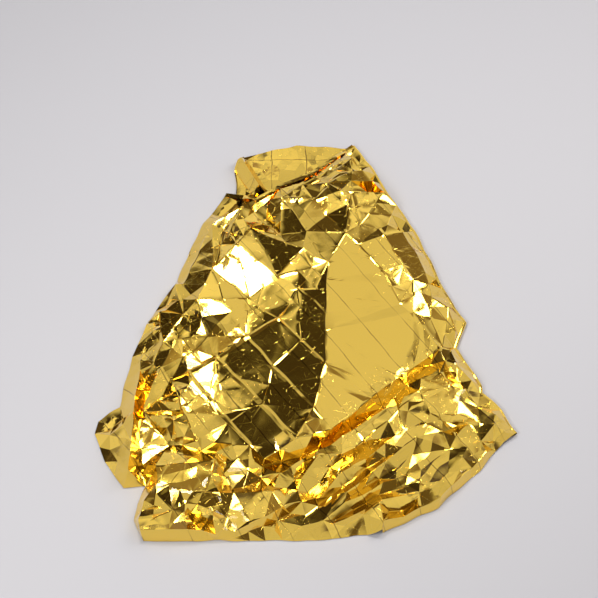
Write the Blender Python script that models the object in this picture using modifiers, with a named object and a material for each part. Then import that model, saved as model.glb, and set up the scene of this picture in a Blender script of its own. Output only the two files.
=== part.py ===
"""Emergency foil blanket: a rectangular sheet of metallised film, folded like a cape and laid on a floor.

The middle of the sheet is the back panel, which lies flat on the floor. The left flap is folded over it and
lies flat too, with its collar standing beside the neck. The right flap is folded over both and is the
crumpled top layer: flat facets between the main creases, with a centre ridge, smooth panels, crisp shoulder
facets and long piled folds along the lower hem.
Axes: +X to the wearer's left, +Y towards the collar, +Z up. Lengths are in metres.
"""

import math
from collections import namedtuple

import bmesh
import bpy
import numpy as np
from mathutils import Vector
from mathutils.geometry import delaunay_2d_cdt

CM = 0.01

# Film and layers
FILM_THICKNESS = 0.0012
LAYER_MID = FILM_THICKNESS / 2
UNDER_FLAP_LIFT = 0.0055
CLEAR_LIFT = 0.0110
HEM_LIFT = 0.0030
HEM_SLOPE = 0.45
SIDE_FOLD_LIFT = 0.0150
SIDE_FOLD_REACH = 0.080
LAYER_FOLD_BULGE = 0.0035
SIDE_FOLD_BULGE = 0.0080
FOLD_STEPS = 4
BACK_INSET = 0.014

# The crumpled top layer swells from its edge
RIM_RISE = 0.024
RIM_REACH = 0.020
RIM_BAND = 0.040
RIM_CORNER_REACH = (0.016, 0.045)
RIM_CLEAR = 0.014
RIM_SHARES = (0.5, 1.35)

# Facets: a large net on the main creases and, where the sheet is crumpled, a small one inside it
EDGE_STEP = 0.045
LARGE_STEP = 0.055
LARGE_FACET = 0.078
LARGE_RISE = 0.009
LARGE_CLOSEST = 0.020
SMALL_FACET = 0.042
SMALL_RISE = 0.0030
SMALL_CLOSEST = 0.014
LEAST_SHARE = 0.2
JITTER = 0.32
UNDER_STEP = 0.110
CRUMPLE_SEED = 41

# Raised lines on the flat panels: those of the packet and those of the sharpest creases
LINE_RISE = 0.0028
PACK_WIDTH = 0.007
PACK_CLEAR = 0.022
SHARP_WIDTH = 0.008
SHARP_CLEAR = 0.018
LEAST_RAISED = 0.060
SHARP_CREASES = ("centre ridge", "panel side edge", "panel lower edge", "main crease", "diamond",
                 "dark triangle", "neck to panel", "breast folds")

Place = namedtuple("Place", "across down height")
Corner = namedtuple("Corner", "name across down height")
HiddenCorner = namedtuple("HiddenCorner", "name x y")
Crease = namedtuple("Crease", "name path")
Panel = namedtuple("Panel", "name corners crumple")
Peak = namedtuple("Peak", "name across down height")

# The blanket is planned on a view of it as it lies, from over its hem. A place is so many points across and
# down this view, with its height over the floor in centimetres
VIEW_POINTS = 598
VIEW_ELEVATION = 60
VIEW_DISTANCE = 3.70
VIEW_REACH = 85 / 36
VIEW_MIDDLE = (-0.017, 0.071, 0.03)

# Corners of the laid blanket, clockwise from the collar
NECK = (
    Corner("collar, left tip", 240, 150, 0.3),
    Corner("back of the neck", 297, 146, 0.3),
)
RIGHT_SIDE = (
    Corner("collar, right tip", 352, 146, 1.5),
    Corner("right shoulder", 368, 166, 1.5),
    Corner("right upper arm", 386, 193, 1.5),
    Corner("right elbow", 412, 232, 1.5),
    Corner("right forearm", 436, 280, 1.5),
    Corner("right peak, above", 452, 308, 1.5),
    Corner("right peak", 463, 322, 1.5),
    Corner("right notch", 453, 347, 1.5),
    Corner("right skirt", 478, 385, 1.5),
    Corner("right skirt, notch", 479, 393, 1.5),
    Corner("right flare", 499, 410, 1.5),
    Corner("right tip", 515, 434, 1.5),
)
HEM = (
    Corner("hem below the tip", 503, 443, 0.3),
    Corner("hem, right", 480, 470, 0.3),
    Corner("hem, right of middle", 437, 507, 0.3),
    Corner("hem, middle", 382, 533, 0.3),
    Corner("hem, left of middle", 315, 541, 0.3),
    Corner("hem, left", 215, 541, 0.3),
    Corner("rolled corner, below", 142, 541, 0.3),
)
LEFT_SIDE = (
    Corner("rolled corner, above", 132, 522, 0.3),
    Corner("left pleats", 135, 503, 0.3),
    Corner("left notch", 146, 486, 0.3),
    Corner("left bulge, foot", 122, 489, 0.3),
    Corner("left bulge, below", 104, 462, 0.3),
    Corner("left bulge", 94, 434, 0.3),
    Corner("left bulge, above", 97, 421, 0.3),
    Corner("left skirt", 119, 407, 0.3),
    Corner("left forearm", 131, 356, 0.3),
    Corner("left elbow", 147, 322, 0.3),
    Corner("left upper arm", 175, 280, 0.3),
    Corner("left arm", 202, 224, 0.3),
    Corner("left shoulder", 226, 194, 0.3),
)
COLLAR = (
    Corner("foot of the V", 256, 199, 3.2),
    Corner("collar band, end", 278, 187, 4.2),
    Corner("collar band, middle", 305, 177, 4.6),
)

# Height of the collar's edge over the floor in centimetres, at each corner from the left shoulder on
COLLAR_HEIGHTS = (0.22, 3.2, 4.2, 4.6, 1.5)

# Free edges of the left flap, which lies under the top layer, and its fold along the left side
UNDER_TOP_EDGE = (
    HiddenCorner("under flap, neck", -17.5, 54.5),
    HiddenCorner("under flap, V", -10.5, 43.0),
    HiddenCorner("under flap, corner", 26.0, 22.0),
)
UNDER_FREE_EDGE = (
    HiddenCorner("under flap, side", 34.0, -12.0),
    HiddenCorner("under flap, lower corner", 20.0, -48.0),
    HiddenCorner("under flap, hem", -36.0, -52.5),
)
LEFT_FOLD = (
    HiddenCorner("left fold, foot", -36.5, -46.0),
    HiddenCorner("left fold, skirt", -44.0, -34.0),
    HiddenCorner("left fold, middle", -41.5, -16.0),
    HiddenCorner("left fold, elbow", -34.0, 8.0),
    HiddenCorner("left fold, arm", -23.5, 31.5),
    HiddenCorner("left fold, shoulder", -19.0, 42.0),
    HiddenCorner("left fold, neck", -19.5, 50.0),
)

# The left flap's collar, which stands up beside the neck, in centimetres
COLLAR_FOLD = ((-18.0, 51.5), (-13.0, 42.0))
COLLAR_FOLD_RISE = 4.2
COLLAR_FOLD_WIDTH = 2.4

# Corners where creases meet
# The smooth panel and the centre ridge
PANEL_TOP = Place(345, 232, 8.2)
PANEL_SIDE = Place(382, 270, 7.2)
PANEL_GLASS = Place(400, 304, 6.1)
PANEL_FOREARM = Place(413, 313, 6.2)
PANEL_CORNER = Place(439, 350, 5.2)
PANEL_HOLLOW = Place(383, 387, 7.0)
PANEL_LOWER = Place(331, 429, 8.6)
RIDGE_TOP = Place(326, 262, 8.3)
RIDGE_UPPER = Place(326, 313, 8.7)
RIDGE_MIDDLE = Place(324, 364, 8.9)
RIDGE_LOWER = Place(313, 408, 9.2)
RIDGE_FOOT = Place(294, 440, 7.4)

# The dark panel and its cells
MAIN_TOP = Place(298, 288, 6.6)
MAIN_UPPER = Place(278, 320, 6.0)
MAIN_MIDDLE = Place(246, 338, 5.2)
MAIN_LOWER = Place(215, 359, 4.2)
MAIN_FOOT = Place(187, 372, 4.0)
CELL_UPPER = Place(300, 340, 6.4)
CELL_MIDDLE = Place(272, 366, 5.7)
CELL_LOWER = Place(262, 406, 4.8)
CELL_FOOT = Place(216, 414, 2.8)
WHITE_TOP = Place(219, 390, 3.8)
WHITE_FOOT = Place(206, 404, 3.0)
LAP_TOP = Place(179, 399, 4.4)
LAP_SIDE = Place(189, 430, 4.0)
LAP_FOOT = Place(248, 446, 4.7)
LAP_LOWER = Place(262, 460, 5.4)

# The diamond, the breast and the left shoulder
DIAMOND_FOOT = Place(247, 298, 5.7)
DIAMOND_LEFT = Place(212, 269, 6.6)
DIAMOND_TOP = Place(236, 243, 7.4)
DIAMOND_RIGHT = Place(277, 276, 6.6)
BREAST_LEFT = Place(250, 229, 5.4)
BREAST_MIDDLE = Place(301, 249, 7.5)
BREAST_TOP = Place(306, 232, 7.1)
NOTCH_TOP = Place(296, 272, 7.0)
NOTCH_FOOT = Place(315, 288, 7.8)
SHOULDER_TOP = Place(240, 206, 5.4)
ARM_EDGE = Place(195, 300, 5.6)
ARM_BEND = Place(207, 336, 5.4)

# The neck and the right shoulder
THROAT_TOP = Place(281, 197, 6.2)
THROAT_FOOT = Place(279, 234, 5.8)
NECK_TOP = Place(351, 159, 6.2)
NECK_MIDDLE = Place(350, 192, 7.6)
COLLAR_LEFT = Place(312, 199, 6.8)
COLLAR_FOOT = Place(325, 216, 7.4)
COLLAR_RIGHT = Place(340, 190, 7.0)
RIGHT_SHOULDER = Place(382, 192, 5.6)
RIGHT_BREAST = Place(360, 225, 7.2)

# The right side and the skirt
BRONZE_LEFT = Place(377, 229, 6.2)
BRONZE_RIGHT = Place(382, 235, 7.0)
GLASS_RIGHT = Place(413, 280, 6.4)
STRIPE_UPPER = Place(425, 272, 5.2)
STRIPE_MIDDLE = Place(430, 297, 5.4)
STRIPE_LOWER = Place(430, 318, 5.0)
STRIPE_FOOT = Place(443, 347, 4.6)
STRIPE_END = Place(478, 408, 3.0)
PEAK_LEFT = Place(447, 308, 4.4)
SKIRT_TOP = Place(430, 364, 3.4)
SKIRT_LEFT = Place(428, 413, 5.2)
SKIRT_FOOT = Place(457, 414, 4.8)
SKIRT_CORNER = Place(478, 424, 3.6)
SKIRT_RIGHT = Place(457, 398, 4.6)
SKIRT_HEM_RIGHT = Place(466, 449, 4.2)
SKIRT_HEM_LEFT = Place(441, 431, 4.2)
SKIRT_HEM_END = Place(425, 424, 4.6)

# The left side
UPPER_ARM = Place(175, 284, 3.8)
FOREARM_TOP = Place(181, 316, 5.2)
FOREARM_LEFT = Place(161, 342, 4.4)
FOREARM_MIDDLE = Place(170, 348, 4.6)
FOREARM_RIGHT = Place(183, 356, 4.2)
FOREARM_HOLLOW = Place(158, 341, 3.0)
PLEAT_TOP = Place(139, 361, 2.6)
SLEEVE_FOOT = Place(142, 380, 1.6)
STAR = Place(142, 411, 3.2)
KNEE_LEFT = Place(153, 466, 5.6)
KNEE_RIGHT = Place(214, 458, 4.2)
KNEE_FOOT = Place(157, 482, 3.4)

# The hem's roll and the piles over it
ROLL_END = Place(184, 505, 4.6)
ROLL_BAND = Place(203, 493, 4.8)
BAND_MIDDLE = Place(234, 493, 5.0)
BAND_RIGHT = Place(270, 491, 5.4)
ROLL_FRONT = Place(186, 529, 2.8)
HEM_STAR_MIDDLE = Place(212, 520, 4.8)
HEM_STAR_RIGHT = Place(226, 517, 3.4)
CAVE_TOP = Place(246, 470, 3.6)
TROUGH_LEFT = Place(262, 467, 3.0)
TROUGH_MIDDLE = Place(299, 457, 3.2)
PILE_MEET = Place(334, 478, 5.2)
PILE_RIGHT = Place(431, 489, 4.8)
PILE_UPPER = Place(447, 472, 4.2)
PILE_END = Place(462, 457, 4.4)
OLIVE_CORNER = Place(383, 521, 4.0)

# Main creases of the top layer, each from corner to corner
CREASES = (
    # the smooth panel and the dark panel, either side of the centre ridge
    Crease("centre ridge", (RIDGE_TOP, RIDGE_UPPER, RIDGE_MIDDLE, RIDGE_LOWER, RIDGE_FOOT)),
    Crease("panel side edge", (PANEL_TOP, PANEL_SIDE, PANEL_GLASS, PANEL_FOREARM, PANEL_CORNER)),
    Crease("panel top edge", (PANEL_TOP, RIDGE_TOP)),
    Crease("panel lower edge", (RIDGE_LOWER, PANEL_LOWER, (357, 410, 7.8), PANEL_HOLLOW, (426, 359, 5.9),
                                PANEL_CORNER)),
    Crease("main crease", (RIDGE_TOP, NOTCH_FOOT, MAIN_TOP, MAIN_UPPER, MAIN_MIDDLE, MAIN_LOWER,
                           MAIN_FOOT)),
    Crease("dark panel cells", (MAIN_TOP, CELL_UPPER, CELL_MIDDLE, CELL_LOWER, CELL_FOOT)),
    Crease("dark panel foot", (LAP_TOP, LAP_SIDE, (212, 443, 3.8), LAP_FOOT, LAP_LOWER, RIDGE_FOOT,
                               PANEL_LOWER)),
    Crease("pale cells", (MAIN_FOOT, (188, 385, 4.0), WHITE_FOOT, CELL_FOOT, LAP_FOOT)),
    Crease("white cell", (WHITE_FOOT, (214, 400, 3.2), WHITE_TOP, MAIN_LOWER, WHITE_FOOT)),
    # the shoulder
    Crease("diamond", (DIAMOND_FOOT, DIAMOND_LEFT, DIAMOND_TOP, DIAMOND_RIGHT, DIAMOND_FOOT)),
    Crease("diamond crease", (DIAMOND_TOP, DIAMOND_FOOT)),
    Crease("dark triangle", (DIAMOND_RIGHT, BREAST_LEFT, BREAST_MIDDLE, DIAMOND_RIGHT)),
    Crease("breast folds", (DIAMOND_TOP, BREAST_LEFT, THROAT_FOOT, BREAST_TOP, BREAST_MIDDLE, RIDGE_TOP,
                            BREAST_TOP, PANEL_TOP)),
    Crease("breast notch", (DIAMOND_RIGHT, NOTCH_TOP, RIDGE_TOP)),
    Crease("notch foot", (NOTCH_TOP, NOTCH_FOOT)),
    Crease("band under the diamond", (DIAMOND_FOOT, (264, 311, 5.7), MAIN_UPPER)),
    Crease("left arm edge", (SHOULDER_TOP, (211, 225, 4.8), DIAMOND_LEFT, ARM_EDGE, ARM_BEND,
                             MAIN_MIDDLE)),
    Crease("diamond to arm", (ARM_EDGE, DIAMOND_FOOT, MAIN_MIDDLE)),
    Crease("left arm", ((213, 220, 3.6), (199, 251, 4.5), (182, 284, 4.4), FOREARM_TOP)),
    Crease("left shoulder folds", (SHOULDER_TOP, (228, 234, 5.9), DIAMOND_TOP)),
    Crease("white shoulder fold", (SHOULDER_TOP, (221, 232, 4.4), (214, 262, 5.6))),
    # the neck
    Crease("neck to panel", (NECK_TOP, NECK_MIDDLE, PANEL_TOP)),
    Crease("throat kite", (THROAT_FOOT, THROAT_TOP, BREAST_TOP)),
    Crease("throat hollow", ((256, 212, 2.4), (265, 221, 2.4), THROAT_FOOT)),
    Crease("collar strip", (THROAT_TOP, COLLAR_LEFT, COLLAR_FOOT, PANEL_TOP)),
    Crease("collar dark facets", (THROAT_TOP, (312, 178, 5.4), COLLAR_RIGHT, NECK_MIDDLE, (345, 215, 8.0),
                                  COLLAR_FOOT)),
    Crease("collar facet", (COLLAR_LEFT, COLLAR_RIGHT)),
    # the right side, in long facets along the panel
    Crease("right shoulder facet", (NECK_MIDDLE, RIGHT_SHOULDER, RIGHT_BREAST, NECK_MIDDLE)),
    Crease("right shoulder edge", (NECK_TOP, RIGHT_SHOULDER)),
    Crease("bronze facets", (RIGHT_BREAST, BRONZE_LEFT, BRONZE_RIGHT, (396, 207, 3.4))),
    Crease("glassy facet", (BRONZE_LEFT, BRONZE_RIGHT, GLASS_RIGHT, PANEL_GLASS)),
    Crease("glassy facet, fold", (PANEL_SIDE, (398, 286, 6.0), GLASS_RIGHT, PANEL_FOREARM)),
    Crease("outer stripe", (BRONZE_RIGHT, (403, 232, 5.0), STRIPE_UPPER, STRIPE_MIDDLE, STRIPE_LOWER,
                            STRIPE_FOOT)),
    Crease("forearm facet", (GLASS_RIGHT, STRIPE_UPPER)),
    Crease("bronze facet, lower", (GLASS_RIGHT, STRIPE_LOWER)),
    Crease("peak facet", (STRIPE_MIDDLE, PEAK_LEFT, STRIPE_FOOT)),
    Crease("peak", (PEAK_LEFT, (455, 330, 4.2))),
    Crease("skirt gap", ((406, 382, 3.0), SKIRT_TOP, PANEL_CORNER)),
    Crease("smooth skirt facet", (SKIRT_TOP, (420, 378, 4.8), (419, 390, 4.8), SKIRT_LEFT, SKIRT_FOOT,
                                  SKIRT_CORNER, SKIRT_RIGHT, (438, 373, 5.0), SKIRT_TOP)),
    Crease("orange stripe", (PANEL_CORNER, (450, 372, 3.0), (466, 392, 2.8), STRIPE_END)),
    Crease("outer skirt facets", ((450, 350, 4.0), (456, 366, 5.0), (471, 380, 4.6), (468, 388, 5.2))),
    Crease("skirt hem facets", (STRIPE_END, (494, 416, 4.0), (494, 425, 4.8), (481, 442, 3.8),
                                SKIRT_HEM_RIGHT, (454, 436, 4.0), SKIRT_HEM_LEFT, SKIRT_HEM_END)),
    Crease("skirt fold", (SKIRT_LEFT, (455, 425, 2.2), SKIRT_CORNER)),
    Crease("skirt star", (SKIRT_HEM_LEFT, (447, 449, 2.8), SKIRT_HEM_RIGHT)),
    # the left side
    Crease("forearm facets", (FOREARM_TOP, FOREARM_LEFT, ARM_BEND, (196, 331, 5.6), FOREARM_TOP)),
    Crease("forearm fold", ((165, 310, 4.2), FOREARM_TOP, (158, 312, 2.6), FOREARM_LEFT, FOREARM_MIDDLE,
                            FOREARM_RIGHT, (196, 351, 4.4), ARM_BEND)),
    Crease("upper arm line", (UPPER_ARM, FOREARM_TOP)),
    Crease("forearm hollow", ((146, 324, 2.2), (153, 331, 2.8), FOREARM_HOLLOW, (145, 361, 2.0),
                              PLEAT_TOP)),
    Crease("sleeve line", (FOREARM_LEFT, (150, 366, 3.2), SLEEVE_FOOT)),
    Crease("sleeve fold", (FOREARM_MIDDLE, (152, 385, 4.2), STAR)),
    Crease("sleeve facet", (FOREARM_RIGHT, MAIN_FOOT)),
    Crease("pale pleat", (PLEAT_TOP, (138, 382, 5.0), (133, 410, 6.4), (130, 440, 6.6), (127, 468, 5.6),
                          (136, 480, 2.6))),
    Crease("pleat hollow", (SLEEVE_FOOT, (143, 404, 1.6), (137, 432, 1.8), (142, 466, 1.6))),
    Crease("star folds", (STAR, (175, 392, 4.4), LAP_TOP)),
    Crease("star fold, lower", (STAR, (187, 426, 4.4))),
    Crease("star hollow", (STAR, (171, 411, 2.2), (180, 410, 2.6))),
    Crease("star hollow, upper", (STAR, (159, 397, 2.0), (170, 380, 2.4), MAIN_FOOT)),
    Crease("knee hollow", ((143, 420, 2.0), (160, 434, 1.5), (180, 444, 1.8), (200, 450, 1.6),
                           (214, 453, 1.8), (222, 462, 1.6))),
    Crease("knee fold", (KNEE_LEFT, (182, 464, 5.4), (209, 462, 5.2), KNEE_RIGHT)),
    Crease("knee face", (KNEE_LEFT, KNEE_FOOT, (180, 492, 2.6), (204, 491, 2.6), KNEE_RIGHT)),
    Crease("knee side", ((146, 486, 0.6), KNEE_LEFT)),
    Crease("corner pleat", (KNEE_FOOT, (142, 500, 3.8), (140, 512, 3.4))),
    Crease("corner pleat, second", (KNEE_FOOT, (154, 506, 2.6))),
    # the hem's roll on the left, with its star
    Crease("rolled hem", ((137, 520, 3.6), (152, 518, 4.4), (171, 511, 4.6), ROLL_END, ROLL_BAND,
                          BAND_MIDDLE, BAND_RIGHT)),
    Crease("roll front", ((139, 529, 3.2), (168, 529, 3.4), ROLL_FRONT)),
    Crease("star of the hem", ((184, 511, 4.4), (189, 513, 2.8), (201, 516, 4.6), (212, 510, 3.6),
                               HEM_STAR_MIDDLE, HEM_STAR_RIGHT)),
    Crease("star of the hem, lower", (ROLL_FRONT, (199, 529, 3.8), (204, 524, 2.6), HEM_STAR_MIDDLE,
                                      (214, 536, 2.4), (222, 531, 3.6), HEM_STAR_RIGHT)),
    Crease("hem crease", (BAND_MIDDLE, (248, 522, 4.2))),
    Crease("long hem fold", ((219, 537, 1.6), (248, 524, 4.4), (281, 507, 5.2))),
    Crease("long hem hollow", ((232, 537, 1.4), (262, 526, 2.0), (290, 515, 2.2))),
    # the piles of the hem, in long folds that run down to the left
    Crease("cave", (KNEE_RIGHT, (222, 474, 2.6), (232, 490, 2.2))),
    Crease("cave fold", ((222, 462, 2.2), (236, 458, 3.8), CAVE_TOP, (242, 489, 2.2))),
    Crease("cave fold, right", (CAVE_TOP, (262, 479, 2.4), (268, 489, 2.2))),
    Crease("trough under the panel", (TROUGH_LEFT, TROUGH_MIDDLE, (332, 441, 3.4), (365, 421, 3.4),
                                      (404, 386, 3.2))),
    Crease("first fold", ((272, 487, 4.4), (280, 474, 5.0), (302, 460, 5.6), (331, 443, 5.8),
                          (352, 430, 5.4), (384, 408, 4.8))),
    Crease("first gap", ((286, 488, 2.8), (301, 472, 3.2), (312, 459, 4.4))),
    Crease("second fold", ((296, 490, 3.8), (300, 480, 4.6), (319, 456, 5.4), (341, 453, 4.8))),
    Crease("second gap", ((306, 493, 2.6), (318, 481, 2.6), (330, 468, 2.8))),
    Crease("third fold", (PILE_MEET, (345, 456, 5.6), (362, 440, 5.8), (386, 420, 5.4), (408, 402, 4.6))),
    Crease("third gap", ((341, 471, 4.6), (352, 461, 3.6), (366, 450, 3.6), (378, 440, 4.0))),
    Crease("fourth fold", ((283, 507, 5.0), (316, 499, 5.2), PILE_MEET, (342, 472, 5.6), (366, 458, 5.8),
                           (383, 444, 5.6), (404, 428, 5.2), SKIRT_HEM_END)),
    Crease("fourth gap", ((304, 515, 2.8), (318, 506, 3.0), (341, 487, 3.4), (368, 468, 3.8),
                          (384, 458, 4.2))),
    Crease("fifth fold", ((330, 507, 4.2), (345, 492, 5.0), (372, 471, 5.4), (401, 449, 5.4),
                          (416, 438, 5.0))),
    Crease("fifth gap", ((349, 497, 3.8), (362, 487, 3.6), (378, 479, 3.6), (396, 468, 4.0))),
    Crease("sixth fold", ((322, 520, 3.8), (343, 502, 4.8), (353, 498, 5.0), (382, 483, 5.2),
                          (407, 475, 4.8), PILE_RIGHT)),
    Crease("sixth gap", ((336, 520, 2.8), (352, 509, 3.0), (378, 496, 3.4), (404, 486, 3.6))),
    Crease("seventh fold", ((331, 525, 3.4), (344, 519, 4.4), (380, 500, 5.0), (405, 494, 5.0), PILE_RIGHT,
                            PILE_UPPER, PILE_END)),
    Crease("olive facet", ((344, 526, 2.4), (379, 504, 4.4), OLIVE_CORNER, (381, 531, 2.4),
                           (366, 535, 1.6))),
    Crease("cave of the hem", ((389, 512, 2.2), (402, 511, 1.8), (414, 504, 2.2))),
    Crease("hem on the right", (OLIVE_CORNER, (401, 518, 3.0), (440, 497, 3.2), (464, 475, 3.4),
                                (486, 452, 3.0))),
    Crease("hem facets on the right", (PILE_END, (470, 468, 2.4), PILE_UPPER)),
)

# Raised lines that the sheet keeps from the packet it was folded into
PACK_CREASES = (
    Crease("dark panel, first", (MAIN_TOP, RIDGE_UPPER)),
    Crease("dark panel, second", (MAIN_UPPER, RIDGE_MIDDLE)),
    Crease("dark panel, third", (MAIN_MIDDLE, RIDGE_LOWER)),
    Crease("dark panel, fourth", (MAIN_LOWER, CELL_LOWER, RIDGE_FOOT)),
    Crease("dark panel, fifth", (MAIN_FOOT, LAP_FOOT)),
)

# Parts of the top layer that crumple less than the rest, with their share of the crumple
PANELS = (
    Panel("smooth panel", (PANEL_TOP, PANEL_SIDE, PANEL_FOREARM, PANEL_CORNER, PANEL_HOLLOW, PANEL_LOWER,
                           RIDGE_LOWER, RIDGE_MIDDLE, RIDGE_TOP), 0.0),
    Panel("dark panel", (MAIN_TOP, MAIN_MIDDLE, MAIN_FOOT, LAP_SIDE, LAP_LOWER, RIDGE_FOOT, RIDGE_LOWER,
                         RIDGE_MIDDLE, RIDGE_TOP), 0.08),
    Panel("shoulder", (DIAMOND_LEFT, DIAMOND_TOP, BREAST_LEFT, THROAT_FOOT, THROAT_TOP, COLLAR_LEFT,
                       NECK_MIDDLE, PANEL_TOP, RIDGE_TOP, MAIN_TOP, MAIN_UPPER, MAIN_MIDDLE,
                       ARM_EDGE), 0.05),
    Panel("right side", (PANEL_TOP, (344, 196, 7.7), (364, 166, 5.0), (400, 224, 5.0), (462, 318, 4.0),
                         STRIPE_FOOT, PANEL_CORNER), 0.15),
    Panel("skirt", ((430, 362, 5.2), (418, 373, 5.0), SKIRT_LEFT, SKIRT_FOOT, SKIRT_CORNER,
                    SKIRT_RIGHT), 0.05),
    Panel("left arm", ((226, 200, 4.0), UPPER_ARM, (147, 324, 2.0), FOREARM_HOLLOW, (207, 336, 5.0),
                       (195, 300, 5.2), (212, 269, 6.2)), 0.3),
    Panel("piles", (TROUGH_LEFT, TROUGH_MIDDLE, (404, 384, 3.2), (420, 440, 5.0), (446, 475, 4.0),
                    (383, 533, 1.0), (290, 538, 1.0), (250, 510, 3.0)), 0.4),
    Panel("hem's roll", ((133, 522, 0.3), (142, 541, 0.3), (190, 541, 0.3), ROLL_END,
                         (137, 518, 3.6)), 0.0),
    Panel("hem's band", (ROLL_BAND, (234, 508, 4.0), (236, 541, 0.3), (320, 541, 0.3), (283, 506, 5.0),
                         BAND_RIGHT), 0.15),
)

# Single corners in the crumpled parts where several ridges meet
PEAKS = (
    Peak("left bulge", 108, 436, 3.2),
    Peak("left bulge, below", 116, 462, 2.6),
    Peak("left bulge, folds", 122, 425, 3.4),
    Peak("smooth facet", 401, 430, 5.0),
    Peak("left knee", 182, 436, 3.8),
    Peak("left knee hollow", 168, 446, 1.6),
    Peak("lap", 166, 428, 3.4),
    Peak("knee ball", 196, 440, 3.2),
    Peak("hem fold", 300, 527, 3.2),
    Peak("hem fold, second", 270, 527, 3.0),
    Peak("hem star", 420, 470, 3.6),
    Peak("hem facet", 412, 455, 3.4),
    Peak("tip", 503, 432, 3.6),
    Peak("skirt facet", 404, 396, 4.4),
    Peak("skirt facet, lower", 408, 412, 3.8),
)

OBJECT_NAME = "emergency_foil_blanket"
NODE_NAME = "blanket"
FILM_COLOUR = (0.96, 0.635, 0.10, 1.0)
FILM_ROUGHNESS = 0.14


def clear_scene():
    for obj in list(bpy.data.objects):
        bpy.data.objects.remove(obj, do_unlink=True)


def on_plan(across, down, height):
    """The corner that the view shows there, in metres, to the nearest half centimetre on the plan."""
    tilt = math.radians(VIEW_ELEVATION)
    rise, run = math.sin(tilt), math.cos(tilt)
    right, up, ahead = across - VIEW_POINTS / 2, VIEW_POINTS / 2 - down, VIEW_POINTS * VIEW_REACH
    over_floor = VIEW_MIDDLE[2] + VIEW_DISTANCE * rise - height * CM
    scale = over_floor / (ahead * rise - up * run)
    x = VIEW_MIDDLE[0] + scale * right
    y = VIEW_MIDDLE[1] - VIEW_DISTANCE * run + scale * (up * rise + ahead * run)
    return Vector((round(x / CM * 2) / 2, round(y / CM * 2) / 2, height)) * CM


def points_of(corners):
    return [on_plan(*corner[1:]).xy for corner in corners]


def hidden_points(corners):
    return [Vector((corner.x, corner.y)) * CM for corner in corners]


def path_of(row):
    return [on_plan(*place) for place in row.path]


def outline_of(panel):
    return [on_plan(*place).xy for place in panel.corners]


def plan(points):
    return np.array([tuple(point)[:2] for point in points], float)


def resampled(points, step):
    """The same run of straight lengths with a point at least every step, its ends and corners kept."""
    run = [points[0]]
    for start, end in zip(points, points[1:]):
        parts = max(1, math.ceil((end - start).length / step))
        run += [start.lerp(end, part / parts) for part in range(1, parts + 1)]
    return run


def nearest(places, path):
    """(distance, length along) of many places from a path and on it."""
    path = plan(path)
    away = np.full(len(places), np.inf)
    how_far = np.zeros(len(places))
    before = 0.0
    for start, end in zip(path, path[1:]):
        along = end - start
        share = np.clip((places - start) @ along / max(along @ along, 1e-12), 0, 1)
        gap = np.linalg.norm(places - start - share[:, None] * along, axis=1)
        closer = gap < away
        away[closer] = gap[closer]
        length = np.linalg.norm(along)
        how_far[closer] = before + (share * length)[closer]
        before += length
    return away, how_far


def lengths_of(path):
    return np.concatenate([[0], np.cumsum(np.linalg.norm(np.diff(plan(path), axis=0), axis=1))])


def inside(places, corners):
    """Which of many places lie in a polygon."""
    corners = plan(corners)
    odd = np.zeros(len(places), bool)
    for start, end in zip(corners, np.roll(corners, -1, axis=0)):
        spans = (start[1] > places[:, 1]) != (end[1] > places[:, 1])
        rise = end[1] - start[1] or 1e-12
        cross_x = start[0] + (places[:, 1] - start[1]) * (end[0] - start[0]) / rise
        odd ^= spans & (places[:, 0] < cross_x)
    return odd


def lattice(corners, step):
    """Staggered rows of points inside a polygon."""
    low, high = plan(corners).min(0), plan(corners).max(0)
    rows = np.arange(low[1], high[1], step * math.sqrt(3) / 2)
    columns = np.arange(low[0], high[0] + step, step)
    x, y = np.meshgrid(columns, rows)
    x = x + (np.arange(len(rows)) % 2)[:, None] * step / 2
    places = np.column_stack([x.ravel(), y.ravel()])
    return places[inside(places, corners)]


def spread(fixed, wanted, clear_of, closest):
    """The wanted places that keep their distance from the fixed ones, from each other and from the lines."""
    for line in clear_of:
        wanted = wanted[nearest(wanted, line)[0] > closest]
    taken = plan(fixed)
    kept = []
    for place in wanted:
        if np.linalg.norm(taken - place, axis=1).min() < closest:
            continue
        kept.append(place)
        taken = np.vstack([taken, place])
    return np.array(kept).reshape(-1, 2)


def net_of(outline, lines, loose):
    """The net inside an outline, with edges along the lines: places, triangles, edges and origins."""
    places = [Vector(place[:2]) for place in outline]
    edges = [(i, (i + 1) % len(outline)) for i in range(len(outline))]
    for line in lines:
        first = len(places)
        places += [Vector(place[:2]) for place in line]
        edges += [(first + i, first + i + 1) for i in range(len(line) - 1)]
    places += [Vector(place[:2]) for place in loose]
    points, made_edges, triangles, origins, _, _ = delaunay_2d_cdt(places, edges, [], 1, 1e-5)
    return plan(points), np.array(triangles, int), made_edges, origins


def heights_of(net, origins, given, lines):
    """Height of each place of a net: as given or, where two lines cross, as on one of them."""
    heights = np.zeros(len(net))
    for n, sources in enumerate(origins):
        if sources:
            heights[n] = np.mean([given[source] for source in sources])
            continue
        for line in lines:
            away, how_far = nearest(net[n:n + 1], line)
            if away[0] < 1e-5:
                heights[n] = np.interp(how_far[0], lengths_of(line), [place.z for place in line])
    return heights


def carried(places, net, triangles, values):
    """Values of a net's corners at other places, straight across each triangle."""
    found = np.zeros(len(places))
    for corners in triangles:
        a, b, c = net[corners]
        (ux, uy), (vx, vy) = b - a, c - a
        span = ux * vy - uy * vx
        if abs(span) < 1e-12:
            continue
        x, y = (places - a).T
        second = (x * vy - y * vx) / span
        third = (ux * y - uy * x) / span
        within = (second > -1e-6) & (third > -1e-6) & (second + third < 1 + 1e-6)
        weights = np.column_stack([1 - second - third, second, third])[within]
        found[within] = weights @ values[corners]
    return found


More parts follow.
